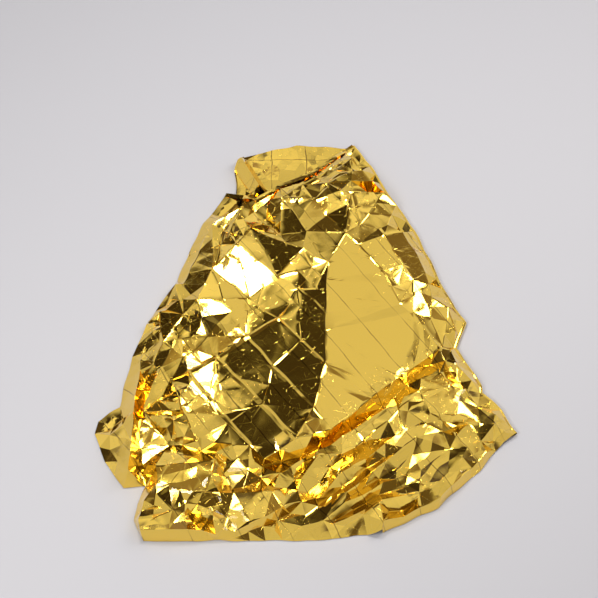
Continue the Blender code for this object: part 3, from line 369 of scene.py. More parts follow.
# Main creases of the top layer, each from corner to corner
CREASES = (
    # The smooth panel and the dark panel, either side of the centre ridge
    Crease("centre ridge", (RIDGE_TOP, RIDGE_UPPER, RIDGE_MIDDLE, RIDGE_LOWER, RIDGE_FOOT)),
    Crease("panel side edge", (PANEL_TOP, PANEL_SIDE, PANEL_GLASS, PANEL_FOREARM, PANEL_CORNER)),
    Crease("panel top edge", (PANEL_TOP, RIDGE_TOP)),
    Crease("panel lower edge", (RIDGE_LOWER, PANEL_LOWER, (357, 410, 7.8), PANEL_HOLLOW, (426, 359, 5.9),
                                PANEL_CORNER)),
    Crease("main crease", (RIDGE_TOP, NOTCH_FOOT, MAIN_TOP, MAIN_UPPER, MAIN_MIDDLE, MAIN_LOWER,
                           MAIN_FOOT)),
    Crease("dark panel cells", (MAIN_TOP, CELL_UPPER, CELL_MIDDLE, CELL_LOWER, CELL_FOOT)),
    Crease("dark panel foot", (LAP_TOP, LAP_SIDE, (212, 443, 3.8), LAP_FOOT, LAP_LOWER, RIDGE_FOOT,
                               PANEL_LOWER)),
    Crease("pale cells", (MAIN_FOOT, (188, 385, 4.0), WHITE_FOOT, CELL_FOOT, LAP_FOOT)),
    Crease("white cell", (WHITE_FOOT, (214, 400, 3.6), WHITE_TOP, MAIN_LOWER, WHITE_FOOT)),
    # The shoulder
    Crease("diamond", (DIAMOND_FOOT, DIAMOND_LEFT, DIAMOND_TOP, DIAMOND_RIGHT, DIAMOND_FOOT)),
    Crease("diamond crease", (DIAMOND_TOP, DIAMOND_FOOT)),
    Crease("dark triangle", (DIAMOND_RIGHT, BREAST_LEFT, BREAST_MIDDLE, DIAMOND_RIGHT)),
    Crease("breast folds", (DIAMOND_TOP, BREAST_LEFT, THROAT_FOOT, BREAST_TOP, BREAST_MIDDLE, RIDGE_TOP,
                            BREAST_TOP, PANEL_TOP)),
    Crease("breast notch", (DIAMOND_RIGHT, NOTCH_TOP, RIDGE_TOP)),
    Crease("notch foot", (NOTCH_TOP, NOTCH_FOOT)),
    Crease("band under the diamond", (DIAMOND_FOOT, (264, 311, 6.0), MAIN_UPPER)),
    Crease("left arm edge", (SHOULDER_TOP, (211, 225, 4.3), DIAMOND_LEFT, ARM_EDGE, ARM_BEND,
                             MAIN_MIDDLE)),
    Crease("diamond to arm", (ARM_EDGE, ARM_FOLD, DIAMOND_FOOT, MAIN_MIDDLE)),
    Crease("arm fold", (DIAMOND_LEFT, ARM_FOLD, MAIN_MIDDLE)),
    Crease("left arm", ((213, 220, 2.8), (199, 251, 3.2), (182, 284, 3.4), FOREARM_TOP)),
    Crease("left shoulder folds", (SHOULDER_TOP, (228, 234, 5.9), DIAMOND_TOP)),
    Crease("white shoulder fold", (SHOULDER_TOP, (221, 232, 4.0), (214, 262, 5.6))),
    # The neck
    Crease("neck to panel", (NECK_TOP, NECK_MIDDLE, PANEL_TOP)),
    Crease("throat kite", (THROAT_FOOT, THROAT_TOP, BREAST_TOP)),
    Crease("throat hollow", ((256, 212, 2.4), (265, 221, 2.4), THROAT_FOOT)),
    Crease("collar strip", (THROAT_TOP, COLLAR_LEFT, COLLAR_FOOT, PANEL_TOP)),
    Crease("collar dark facets", (THROAT_TOP, (312, 178, 5.4), COLLAR_RIGHT, NECK_MIDDLE, (345, 215, 8.0),
                                  COLLAR_FOOT)),
    Crease("collar facet", (COLLAR_LEFT, COLLAR_RIGHT)),
    # The right side, in long facets along the panel
    Crease("right shoulder facet", (NECK_MIDDLE, RIGHT_SHOULDER, RIGHT_BREAST, NECK_MIDDLE)),
    Crease("right shoulder edge", (NECK_TOP, RIGHT_SHOULDER)),
    Crease("bronze facets", (RIGHT_BREAST, BRONZE_LEFT, BRONZE_RIGHT, (396, 207, 3.4))),
    Crease("glassy facet", (BRONZE_LEFT, BRONZE_RIGHT, GLASS_RIGHT, PANEL_GLASS)),
    Crease("glassy facet, fold", (PANEL_SIDE, (398, 286, 6.0), GLASS_RIGHT, PANEL_FOREARM)),
    Crease("outer stripe", (BRONZE_RIGHT, (403, 232, 5.0), STRIPE_UPPER, STRIPE_MIDDLE, STRIPE_LOWER,
                            STRIPE_FOOT)),
    Crease("forearm facet", (GLASS_RIGHT, STRIPE_UPPER)),
    Crease("bronze facet, lower", (GLASS_RIGHT, STRIPE_LOWER)),
    Crease("peak facet", (STRIPE_MIDDLE, PEAK_LEFT, STRIPE_FOOT)),
    Crease("peak", (PEAK_LEFT, (455, 330, 4.2))),
    Crease("skirt gap", ((406, 382, 3.0), SKIRT_TOP, PANEL_CORNER)),
    Crease("smooth skirt facet", (SKIRT_TOP, (420, 378, 4.8), (419, 390, 4.8), SKIRT_LEFT, SKIRT_FOOT,
                                  SKIRT_CORNER, SKIRT_RIGHT, (438, 373, 5.0), SKIRT_TOP)),
    Crease("orange stripe", (PANEL_CORNER, (450, 372, 3.0), (466, 392, 2.8), STRIPE_END)),
    Crease("outer skirt facets", ((450, 350, 4.0), (456, 366, 5.0), (471, 380, 4.6), (468, 388, 5.2))),
    Crease("skirt hem facets", (STRIPE_END, (494, 416, 4.0), (494, 425, 4.8), (481, 442, 3.8),
                                SKIRT_HEM_RIGHT, (454, 436, 4.0), SKIRT_HEM_LEFT, SKIRT_HEM_END)),
    Crease("skirt fold", (SKIRT_LEFT, (455, 425, 2.2), SKIRT_CORNER)),
    Crease("skirt star", (SKIRT_HEM_LEFT, (447, 449, 2.8), SKIRT_HEM_RIGHT)),
    # The left side
    Crease("forearm facets", (FOREARM_TOP, FOREARM_LEFT, ARM_BEND, (196, 331, 5.6), FOREARM_TOP)),
    Crease("forearm fold", ((165, 310, 4.2), FOREARM_TOP, (158, 312, 2.6), FOREARM_LEFT, FOREARM_MIDDLE,
                            FOREARM_RIGHT, (196, 351, 4.4), ARM_BEND)),
    Crease("upper arm line", (UPPER_ARM, FOREARM_TOP)),
    Crease("forearm hollow", ((146, 324, 2.2), (153, 331, 2.8), FOREARM_HOLLOW, (145, 361, 2.0),
                              PLEAT_TOP)),
    Crease("sleeve line", (FOREARM_LEFT, (150, 366, 3.2), SLEEVE_FOOT)),
    Crease("sleeve fold", (FOREARM_MIDDLE, (152, 385, 4.2), STAR)),
    Crease("sleeve facet", (FOREARM_RIGHT, MAIN_FOOT)),
    Crease("pale pleat", (PLEAT_TOP, (138, 382, 5.0), (133, 410, 6.4), (130, 440, 6.6), (127, 468, 5.6),
                          (136, 480, 2.6))),
    Crease("pleat hollow", (SLEEVE_FOOT, (143, 404, 1.6), (137, 432, 1.8), (142, 466, 1.6))),
    Crease("star folds", (STAR, (175, 392, 4.4), LAP_TOP)),
    Crease("star fold, lower", (STAR, (187, 426, 4.4))),
    Crease("star hollow", (STAR, (171, 411, 2.2), (180, 410, 2.6))),
    Crease("star hollow, upper", (STAR, (159, 397, 2.0), (170, 380, 2.4), MAIN_FOOT)),
    Crease("knee hollow", ((143, 420, 2.0), (160, 434, 1.5), (180, 444, 1.8), (200, 450, 1.6),
                           (214, 453, 1.8), (222, 462, 1.6))),
    Crease("knee fold", (KNEE_LEFT, (182, 464, 5.4), (209, 462, 5.2), KNEE_RIGHT)),
    Crease("knee face", (KNEE_LEFT, KNEE_FOOT, (180, 492, 4.7), (204, 491, 4.6), KNEE_RIGHT)),
    Crease("knee side", ((146, 486, 0.6), KNEE_LEFT)),
    Crease("corner pleat", (KNEE_FOOT, (142, 500, 3.8), (140, 512, 3.4))),
    Crease("corner pleat, second", (KNEE_FOOT, (154, 506, 2.6))),
    # The hem's roll on the left, with its star
    Crease("rolled hem", ((137, 520, 4.0), (152, 518, 4.5), (171, 511, 4.9), ROLL_END, ROLL_BAND,
                          BAND_MIDDLE, BAND_RIGHT)),
    Crease("roll front", ((139, 529, 3.8), (168, 529, 4.4), ROLL_FRONT)),
    Crease("star of the hem", ((184, 511, 4.4), (189, 513, 2.8), (201, 516, 4.6), (212, 510, 3.6),
                               HEM_STAR_MIDDLE, HEM_STAR_RIGHT)),
    Crease("star of the hem, lower", (ROLL_FRONT, (199, 529, 3.8), (204, 524, 2.6), HEM_STAR_MIDDLE,
                                      (214, 536, 2.4), (222, 531, 3.6), HEM_STAR_RIGHT)),
    Crease("hem crease", (BAND_MIDDLE, (248, 522, 4.2))),
    Crease("long hem fold", ((219, 537, 1.6), (248, 524, 4.4), (281, 507, 5.2))),
    Crease("long hem hollow", ((232, 537, 1.4), (262, 526, 2.0), (290, 515, 2.2))),
    # The piles of the hem, in long folds that run down to the left
    Crease("cave", (KNEE_RIGHT, (222, 474, 2.0), (232, 488, 1.6))),
    Crease("cave fold", ((222, 462, 2.2), (236, 458, 3.8), CAVE_TOP, (242, 487, 1.6))),
    Crease("cave fold, right", (CAVE_TOP, (262, 479, 1.8), (268, 486, 1.6))),
    Crease("trough under the panel", (TROUGH_LEFT, TROUGH_MIDDLE, (332, 441, 3.4), (365, 421, 3.4),
                                      (404, 386, 3.2))),
    Crease("first fold", ((272, 487, 4.4), (280, 474, 5.0), (302, 460, 5.6), (331, 443, 5.8),
                          (352, 430, 5.4), (384, 408, 4.8))),
    Crease("first gap", ((286, 488, 2.8), (301, 472, 3.2), (312, 459, 4.4))),
    Crease("second fold", ((296, 490, 3.8), (300, 480, 4.6), (319, 456, 5.4), (341, 453, 4.8))),
    Crease("second gap", ((306, 493, 2.6), (318, 481, 2.6), (330, 468, 2.8))),
    Crease("third fold", (PILE_MEET, (345, 456, 5.6), (362, 440, 5.8), (386, 420, 5.4), (408, 402, 4.6))),
    Crease("third gap", ((341, 471, 4.6), (352, 461, 3.6), (366, 450, 3.6), (378, 440, 4.0))),
    Crease("fourth fold", ((283, 507, 5.0), (316, 499, 5.2), PILE_MEET, (342, 472, 5.6), (366, 458, 5.8),
                           (383, 444, 5.6), (404, 428, 5.2), SKIRT_HEM_END)),
    Crease("fourth gap", ((304, 515, 2.8), (318, 506, 3.0), (341, 487, 3.4), (368, 468, 3.8),
                          (384, 458, 4.2))),
    Crease("fifth fold", ((330, 507, 4.2), (345, 492, 5.0), (372, 471, 5.4), (401, 449, 5.4),
                          (416, 438, 5.0))),
    Crease("fifth gap", ((349, 497, 3.8), (362, 487, 3.6), (378, 479, 3.6), (396, 468, 4.0))),
    Crease("sixth fold", ((322, 520, 3.8), (343, 502, 4.8), (353, 498, 5.0), (382, 483, 5.2),
                          (407, 475, 4.8), PILE_RIGHT)),
    Crease("sixth gap", ((336, 520, 2.8), (352, 509, 3.0), (378, 496, 3.4), (404, 486, 3.6))),
    Crease("seventh fold", ((331, 525, 3.4), (344, 519, 4.4), (380, 500, 5.0), (405, 494, 5.0), PILE_RIGHT,
                            PILE_UPPER, PILE_END)),
    Crease("olive facet", ((344, 526, 2.4), (379, 504, 4.4), OLIVE_CORNER, (381, 531, 2.4),
                           (366, 535, 1.6))),
    Crease("cave of the hem", ((389, 512, 2.2), (402, 511, 1.8), (414, 504, 2.2))),
    Crease("hem on the right", (OLIVE_CORNER, (401, 518, 3.0), (440, 497, 3.2), (464, 475, 3.4),
                                (486, 452, 3.0))),
    Crease("hem facets on the right", (PILE_END, (470, 468, 2.4), PILE_UPPER)),
)

# Raised double lines that the sheet keeps from the packet it was folded into, rise and width in centimetres
PACK_CREASES = (
    PackCrease("dark panel, first", (MAIN_TOP, RIDGE_UPPER), 0.16, 0.5),
    PackCrease("dark panel, second", (MAIN_UPPER, RIDGE_MIDDLE), 0.20, 0.6),
    PackCrease("dark panel, third", (MAIN_MIDDLE, RIDGE_LOWER), 0.24, 0.7),
    PackCrease("dark panel, fourth", (MAIN_LOWER, CELL_LOWER, RIDGE_FOOT), 0.26, 0.7),
    PackCrease("dark panel, fifth", (MAIN_FOOT, LAP_FOOT), 0.18, 0.6),
    PackCrease("across the dark panel", (MAIN_UPPER, MAIN_MIDDLE, MAIN_LOWER, MAIN_FOOT), 0.30, 0.7),
)

# Parts of the top layer that crumple less than the rest, with their share of the crumple
PANELS = (
    Panel("lower left", ((97, 421, 0.3), (119, 407, 0.3), (131, 356, 0.3), (147, 324, 2.0), (196, 331, 5.6),
                         LAP_TOP, LAP_SIDE, LAP_FOOT, BAND_RIGHT, (283, 506, 5.0), (236, 541, 0.3),
                         (142, 541, 0.3), (132, 522, 0.3), (104, 462, 0.3)), 0.35),
    Panel("lower right", ((404, 384, 3.2), PANEL_CORNER, (478, 385, 1.5), (515, 434, 1.5), (480, 470, 0.3),
                          (437, 507, 0.3), (383, 533, 0.3), (420, 440, 5.0)), 0.35),
    Panel("smooth panel", (PANEL_TOP, PANEL_SIDE, PANEL_FOREARM, PANEL_CORNER, PANEL_HOLLOW, PANEL_LOWER,
                           RIDGE_LOWER, RIDGE_MIDDLE, RIDGE_TOP), 0.0),
    Panel("dark panel", (MAIN_TOP, MAIN_MIDDLE, MAIN_FOOT, LAP_SIDE, LAP_LOWER, RIDGE_FOOT, RIDGE_LOWER,
                         RIDGE_MIDDLE, RIDGE_TOP), 0.08),
    Panel("shoulder", (DIAMOND_LEFT, DIAMOND_TOP, BREAST_LEFT, THROAT_FOOT, THROAT_TOP, COLLAR_LEFT,
                       NECK_MIDDLE, PANEL_TOP, RIDGE_TOP, MAIN_TOP, MAIN_UPPER, MAIN_MIDDLE,
                       ARM_EDGE), 0.05),
    Panel("right side", (PANEL_TOP, (344, 196, 7.7), (364, 166, 5.0), (400, 224, 5.0), (462, 318, 4.0),
                         STRIPE_FOOT, PANEL_CORNER), 0.15),
    Panel("skirt", ((430, 362, 5.2), (418, 373, 5.0), SKIRT_LEFT, SKIRT_FOOT, SKIRT_CORNER,
                    SKIRT_RIGHT), 0.05),
    Panel("left arm", ((226, 200, 4.0), UPPER_ARM, (147, 324, 2.0), FOREARM_HOLLOW, (207, 336, 5.0),
                       (195, 300, 5.2), (212, 269, 6.2)), 0.3),
    Panel("piles", (TROUGH_LEFT, TROUGH_MIDDLE, (404, 384, 3.2), (420, 440, 5.0), (446, 475, 4.0),
                    (383, 533, 1.0), (290, 538, 1.0), (250, 510, 3.0)), 0.2),
    Panel("hem's roll", ((133, 522, 0.3), (142, 541, 0.3), (190, 541, 0.3), ROLL_END,
                         (137, 518, 3.6)), 0.0),
    Panel("hem's band", (ROLL_BAND, (234, 508, 4.0), (236, 541, 0.3), (320, 541, 0.3), (283, 506, 5.0),
                         BAND_RIGHT), 0.15),
)

# Single corners in the crumpled parts where several ridges meet
PEAKS = (
    Peak("left bulge", 108, 436, 3.2),
    Peak("left bulge, below", 116, 462, 2.6),
    Peak("left bulge, folds", 122, 425, 3.4),
    Peak("smooth facet", 401, 430, 5.0),
    Peak("left knee", 182, 436, 3.8),
    Peak("left knee hollow", 168, 446, 1.6),
    Peak("lap", 166, 428, 3.4),
    Peak("knee ball", 196, 440, 3.2),
    Peak("hem fold", 300, 527, 3.2),
    Peak("hem fold, second", 270, 527, 3.0),
    Peak("hem star", 420, 470, 3.6),
    Peak("hem facet", 412, 455, 3.4),
    Peak("tip", 503, 432, 3.6),
    Peak("skirt facet", 404, 396, 4.4),
    Peak("skirt facet, lower", 408, 412, 3.8),
)

# Film, and the dark brown painted shade in its thin creases
FILM_COLOUR = (0.96, 0.65, 0.095, 1.0)
# Dark brown painted into the thin creases as painted shade
CREASE_SHADE_COLOUR = (0.20, 0.10, 0.015, 1.0)
COAT_WEIGHT = 0.5
COAT_ROUGH = 0.03
FILM_ROUGH_LOW = 0.05
FILM_ROUGH_HIGH = 0.13

# The film's small relief: heights and lengths in metres, tilts as slopes and cells as so many to a metre
WAVES_RISE = 0.0005
WRINKLES_RISE = 0.00010
WRINKLED_SHARE = 2.0
LARGE_TILT = 0.13
LARGE_CELLS = 24.0
SMALL_TILT = 0.22
SMALL_CELLS = 62.0
CREASE_SWAY = 0.0025
PLEATS_REACH = 0.24
PLEATS_GATHER = 0.09
PLEAT_PITCH = 0.030
PLEAT_RISE = 0.0026
PLEAT_SWAY = 0.11

# Noise on the film, its scale and detail, and the ranges of it that run from none to full
SOFT_WAVES = Grain(16.0, 1.5)
WRINKLES = Grain(75.0, 5.0)
ROUGH_PATCHES = Grain(9.0, 2.0)
ROUGH_RANGE = (0.44, 0.60)
CREASE_WANDER = Grain(60.0, 2.0)
# Patches along the thin creases where their painted shade is darker or lighter, and how much it varies
CREASE_SHADE_PATCHES = Grain(14.0, 3.0)
CREASE_SHADE_CONTRAST = (2.6, -0.55)
PLEAT_WANDER = Grain(6.0, 2.0)
PLEAT_PATCHES = Grain(5.0, 1.0)
UNEVEN_RANGE = (0.36, 0.62)
DULL_PATCHES = Grain(12.0, 4.0)
NODE_STEP = 180

# Studio: softboxes aimed at the blanket's middle. Angles in degrees, lengths in metres, power in watts
SOFTBOXES = (
    Softbox("key softbox", 222, 52, 3.2, 1.2, 1.0, 38, (1.0, 0.98, 0.95)),
    Softbox("overhead softbox", 109.5, 70.5, 2.87, 0.60, 0.42, 22, (1.0, 1.0, 1.0)),
    Softbox("right strip light", 28, 48, 3.0, 0.45, 1.8, 26, (1.0, 0.97, 0.93)),
)

# Round places on the walls and ceiling, with their tone as a part of the wall's
PATCHES = (
    Patch("dark ceiling over the camera", 270, 64, 25, 6, 0.16),
    Patch("dark left wall", 140, 40, 27, 5, 0.07),
    Patch("dark far corner", 97, 27, 12, 3, 0.14),
    Patch("pale far wall", 68, 20, 13, 3, 1.4),
    Patch("pale far wall by the curtain", 63, 58, 12, 5, 1.18),
    Patch("dark curtain on the right", 38, 50, 10, 4, 0.18),
    Patch("dark right wall", 24, 22, 15, 4, 0.18),
    Patch("pale right corner", 0, 40, 9, 3, 1.2),
    Patch("dark door on the left", 196, 50, 13, 4, 0.18),
    Patch("dark front corner", 300, 35, 16, 4, 0.20),
    Patch("brown far wall on the right", 52, 33, 11, 5, 0.30),
    Patch("dark foot of the left wall", 152, 14, 16, 5, 0.15),
    Patch("pale ceiling by the overhead softbox", 100, 64, 7, 6, 1.45),
    Patch("brown ceiling on the right", 40, 76, 8, 6, 0.40),
    Patch("pale ceiling on the left", 155, 66, 8, 5, 1.40),
    Patch("brown ceiling over the far wall", 90, 84, 7, 6, 0.45),
    Patch("brown beam by the overhead softbox", 83, 66, 3.5, 3, 0.50),
    Patch("pale window by the curtain", 49, 45.5, 4, 2, 1.50),
)
WALL_COLOUR = (0.64, 0.63, 0.64)
DARK_TINT = (1.0, 0.77, 0.55)
PALE_TINT = (1.0, 1.0, 1.0)
WALL_STRENGTH = 1.0
FLOOR_GLOW_COLOUR = (0.80, 0.79, 0.82)
FLOOR_GLOW_BELOW = (0.30, 0.05)
FLOOR_COLOUR = (0.60, 0.60, 0.635, 1.0)
FLOOR_ROUGH = 0.6
FLOOR_SIZE = 12.0
FLOOR_GAP = 0.0006


def on_plan(across, down, height):
    """The corner that the view shows there, in metres, to the nearest half centimetre on the plan."""
    tilt = math.radians(VIEW_ELEVATION)
    rise, run = math.sin(tilt), math.cos(tilt)
    right, up, ahead = across - VIEW_POINTS / 2, VIEW_POINTS / 2 - down, VIEW_POINTS * VIEW_REACH
    over_floor = VIEW_MIDDLE[2] + VIEW_DISTANCE * rise - height * CM
    scale = over_floor / (ahead * rise - up * run)
    x = VIEW_MIDDLE[0] + scale * right
    y = VIEW_MIDDLE[1] - VIEW_DISTANCE * run + scale * (up * rise + ahead * run)
    x, y = (round(length / CM * STEPS_PER_CM) / STEPS_PER_CM for length in (x, y))
    return Vector((x, y, height)) * CM


def points_of(corners):
    return [on_plan(*corner[1:]).xy for corner in corners]


def hidden_points(corners):
    return [Vector((corner.x, corner.y)) * CM for corner in corners]


def path_of(row):
    return [on_plan(*place) for place in row.path]


def outline_of(panel):
    return [on_plan(*place).xy for place in panel.corners]


def resampled(points, step):
    """The same run of straight lengths with a point at least every step, its ends and corners kept."""
    run = [points[0]]
    for start, end in zip(points, points[1:]):
        parts = max(1, math.ceil((end - start).length / step))
        run += [start.lerp(end, part / parts) for part in range(1, parts + 1)]
    return run


def plan(points):
    return np.array([tuple(point)[:2] for point in points], float)


def nearest(places, path):
    """(distance, length along) of many places from a path and on it."""
    path = plan(path)
    away = np.full(len(places), np.inf)
    how_far = np.zeros(len(places))
    before = 0.0
    for start, end in zip(path, path[1:]):
        along = end - start
        share = np.clip((places - start) @ along / max(along @ along, TINY), 0, 1)
        gap = np.linalg.norm(places - start - share[:, None] * along, axis=1)
        closer = gap < away
        away[closer] = gap[closer]
        length = np.linalg.norm(along)
        how_far[closer] = before + (share * length)[closer]
        before += length
    return away, how_far


def lengths_of(path):
    return np.concatenate([[0], np.cumsum(np.linalg.norm(np.diff(plan(path), axis=0), axis=1))])


def inside(places, corners):
    """Which of many places lie in a polygon."""
    corners = plan(corners)
    odd = np.zeros(len(places), bool)
    for start, end in zip(corners, np.roll(corners, -1, axis=0)):
        spans = (start[1] > places[:, 1]) != (end[1] > places[:, 1])
        rise = end[1] - start[1] or TINY
        cross_x = start[0] + (places[:, 1] - start[1]) * (end[0] - start[0]) / rise
        odd ^= spans & (places[:, 0] < cross_x)
    return odd


def eased(share):
    share = np.clip(share, 0, 1)
    return share * share * (3 - 2 * share)


def zigzag(place, pitch):
    """A wave of straight slopes between -1 and 1 that turns at each fold of the packet."""
    return 4 * np.abs(place / pitch / 2 - np.floor(place / pitch / 2) - 0.5) - 1


def waves(places, span, seed):
    """Smooth uneven values between about -1 and 1."""
    return np.array([noise.noise((x / span, y / span, seed)) for x, y in places])


def spread(fixed, wanted, clear_of, closest):
    """The wanted places that keep their distance from the fixed ones, from each other and from all lines."""
    wanted = np.asarray(wanted, float)
    for line in clear_of:
        wanted = wanted[nearest(wanted, line)[0] > closest]
    taken = np.asarray(fixed, float).reshape(-1, 2)
    kept = []
    for place in wanted:
        if len(taken) and np.min(np.linalg.norm(taken - place, axis=1)) < closest:
            continue
        kept.append(place)
        taken = np.vstack([taken, place])
    return np.array(kept).reshape(-1, 2)


def lattice(low, high, step, dice):
    """Staggered rows of jittered points that fill a box."""
    row_step = step * math.sqrt(3) / 2
    rows = np.arange(low[1], high[1] + row_step, row_step)
    columns = np.arange(low[0], high[0] + step, step)
    x, y = np.meshgrid(columns, rows)
    x = x + (np.arange(len(rows)) % 2)[:, None] * step / 2
    places = np.column_stack([x.ravel(), y.ravel()])
    return places + dice.uniform(-JITTER, JITTER, places.shape) * step


def clipped(start, end, outline, clear):
    """The lengths of a straight line that lie inside an outline, drawn in a little from it."""
    start, end, corners = np.array(start), np.array(end), plan(outline)
    along = end - start
    cuts = []
    for corner, after in zip(corners, np.roll(corners, -1, axis=0)):
        side = after - corner
        span = along[0] * side[1] - along[1] * side[0]
        if abs(span) < TINY:
            continue
        gap = corner - start
        share = (gap[0] * side[1] - gap[1] * side[0]) / span
        where = (gap[0] * along[1] - gap[1] * along[0]) / span
        if 0 <= where < 1:
            cuts.append(share)
    cuts.sort()
    clear = clear / np.linalg.norm(along)
    found = []
    for first, last in zip(cuts, cuts[1:]):
        middle = start + along * (first + last) / 2
        if last - first > SHORTEST_PIECE * clear and inside(middle[None], corners)[0]:
            found.append([Vector(start + along * (first + clear)), Vector(start + along * (last - clear))])
    return found


def net_of(outline, lines, loose):
    """The net inside an outline with edges along the lines: places, triangles, edges, what each place was."""
    places = [Vector(place[:2]) for place in outline]
    edges = [(i, (i + 1) % len(outline)) for i in range(len(outline))]
    for line in lines:
        first = len(places)
        places += [Vector(place[:2]) for place in line]
        edges += [(first + i, first + i + 1) for i in range(len(line) - 1)]
    places += [Vector(place[:2]) for place in loose]
    points, made_edges, triangles, origins, _, _ = delaunay_2d_cdt(places, edges, [], 1, ON_LINE)
    return plan(points), np.array(triangles, int), made_edges, origins


def split_net(places, triangles, values, parts):
    """Each triangle split into parts x parts. Values ride on the corners and stay straight between them."""
    steps = [(i, j) for i in range(parts + 1) for j in range(parts + 1 - i)]
    number = {step: n for n, step in enumerate(steps)}
    weights = np.array([(parts - i - j, i, j) for i, j in steps]) / parts
    corners = np.column_stack([places, values])[triangles]
    fine = np.einsum("sc,tcv->tsv", weights, corners)
    small = []
    for i, j in steps:
        if i + j < parts:
            small.append((number[i, j], number[i + 1, j], number[i, j + 1]))
        if i + j < parts - 1:
            small.append((number[i + 1, j], number[i + 1, j + 1], number[i, j + 1]))
    faces = np.array(small)[None] + (np.arange(len(triangles)) * len(steps))[:, None, None]
    flat = fine.reshape(-1, fine.shape[-1])
    cells = np.round(flat[:, :2] / WELD).astype(np.int64)
    _, first, index = np.unique(cells, axis=0, return_index=True, return_inverse=True)
    return flat[first, :2], flat[first, 2:], index.reshape(-1)[faces.reshape(-1, 3)]


def carried(places, net, triangles, values):
    """Values of a net's corners at other places, straight across each triangle."""
    found = np.zeros(len(places))
    for corners in triangles:
        corner, after, last = net[corners]
        side, other = after - corner, last - corner
        span = side[0] * other[1] - side[1] * other[0]
        if abs(span) < TINY:
            continue
        x, y = (places - corner).T
        second = (x * other[1] - y * other[0]) / span
        third = (side[0] * y - side[1] * x) / span
        within = (second > -WELD) & (third > -WELD) & (second + third < 1 + WELD)
        weights = np.column_stack([1 - second - third, second, third])[within]
        found[within] = weights @ values[corners]
    return found


def heights_of(net, origins, given, lines):
    """Height of each place of a net: as given or, where two lines cross, as on one of them."""
    heights = np.zeros(len(net))
    for n, sources in enumerate(origins):
        if sources:
            heights[n] = np.mean([given[source] for source in sources])
            continue
        for line in lines:
            away, how_far = nearest(net[n:n + 1], line)
            if away[0] < ON_LINE:
                heights[n] = np.interp(how_far[0], lengths_of(line), [place.z for place in line])
    return heights


class TopLayer:
    """The crumpled top layer: a net of large flat facets on the main creases."""

    def __init__(self):
        self.fold_side = points_of(RIGHT_SIDE)
        self.hem = points_of(RIGHT_SIDE[-1:] + HEM + LEFT_SIDE)
        self.collar = points_of(LEFT_SIDE[-1:] + COLLAR + RIGHT_SIDE[:1])
        self.outline = self.fold_side + self.hem[1:] + self.collar[1:-1]
        self.rim = resampled(self.outline + self.outline[:1], EDGE_STEP)
        self.creases = [path_of(crease) for crease in CREASES]
        self.dice = np.random.default_rng(CRUMPLE_SEED)
        self.make_facets()

    def crumple_share(self, places):
        share = np.ones(len(places))
        for panel in PANELS:
            share[inside(places, outline_of(panel))] = panel.crumple
        return share

    def rim_height(self, places):
        """Height over the floor of places on the outline."""
        to_fold = nearest(places, self.fold_side)[0]
        height = HEM_LIFT + (SIDE_FOLD_LIFT - HEM_LIFT) * np.maximum(0, 1 - to_fold / SIDE_FOLD_REACH)
        to_collar, how_far = nearest(places, self.collar)
        collar = np.interp(how_far, lengths_of(self.collar), np.array(COLLAR_HEIGHTS) * CM)
        return np.where(to_collar < ON_LINE, collar, height)

    def lowest(self, places):
        """The least height that keeps the layer clear of those below it."""
        to_edge = nearest(places, self.fold_side + self.hem[1:])[0]
        return np.minimum(CLEAR_LIFT, HEM_LIFT + to_edge * CLEAR_SLOPE)

    def make_facets(self):
        """The large net: first on the main creases alone, then with loose corners between them."""
        peaks = [on_plan(*peak[1:]) for peak in PEAKS]
        corners = [tuple(peak.xy) for peak in peaks]
        rim = self.rim[:-1]
        rim_heights = list(self.rim_height(plan(rim)))
        net, triangles, _, origins = net_of(rim, self.creases, corners)
        given = rim_heights + [place.z for crease in self.creases for place in crease]
        given += [peak.z for peak in peaks]
        heights = heights_of(net, origins, given, self.creases)

        low, high = plan(rim).min(0), plan(rim).max(0)
        lines = [resampled(crease, LARGE_STEP) for crease in self.creases]
        loose = lattice(low, high, LARGE_FACET, self.dice)
        loose = loose[inside(loose, self.outline)]
        loose = loose[self.crumple_share(loose) > LARGE_FROM_SHARE]
        fixed = [tuple(place)[:2] for line in [rim] + lines for place in line] + corners
        loose = np.vstack([self.rim_corners(), loose])
        for line in lines:
            loose = loose[nearest(loose, line)[0] > CLOSEST_LARGE / 2]
        loose = spread(fixed, loose, [], CLOSEST_LARGE)
        given = rim_heights + [place.z for line in lines for place in line]
        given += [peak.z for peak in peaks] + list(self.loose_heights(loose, net, triangles, heights))
        corners += [tuple(place) for place in loose]
        self.net, self.triangles, self.edges, origins = net_of(rim, lines, corners)
        self.heights = np.maximum(heights_of(self.net, origins, given, lines), 0.0)

    def loose_heights(self, loose, net, triangles, heights):
        """Heights of loose corners: about those of the main creases' net, and the swell by the edge."""
        share = self.crumple_share(loose)
        raised = carried(loose, net, triangles, heights)
        raised = raised + self.dice.uniform(-1, 1, len(loose)) * LARGE_RISE * share
        edge = nearest(loose, self.fold_side + self.hem[1:])[0]
        by_hem = nearest(loose, points_of(HEM))[0] < HEM_SWELL_REACH
        swell = np.where(by_hem, HEM_SWELL, SIDE_SWELL) * (1 - np.exp(-edge / RIM_REACH))
        swell *= 1 + RIM_UNEVEN * waves(loose, RIM_UNEVEN_SPAN, RIM_NOISE)
        near = 1 - eased((edge - SWELL_BAND) / SWELL_BAND)
        return raised * (1 - near) + swell * near * self.dice.uniform(*SWELL_SHARES, len(loose))

    def rim_corners(self):
        """Loose corners at uneven distances inside the outline."""
        path = plan(self.rim)
        along = path[1:] - path[:-1]
        square = np.column_stack([along[:, 1], -along[:, 0]]) / np.linalg.norm(along, axis=1)[:, None]
        reach = self.dice.uniform(*RIM_CORNER_REACH, len(along))[:, None]
        found = path[:-1] + along * self.dice.uniform(*RIM_CORNER_PLACES, (len(along), 1)) + square * reach
        return found[inside(found, self.outline)]

    def height(self, places):
        return carried(places, self.net, self.triangles, self.heights)


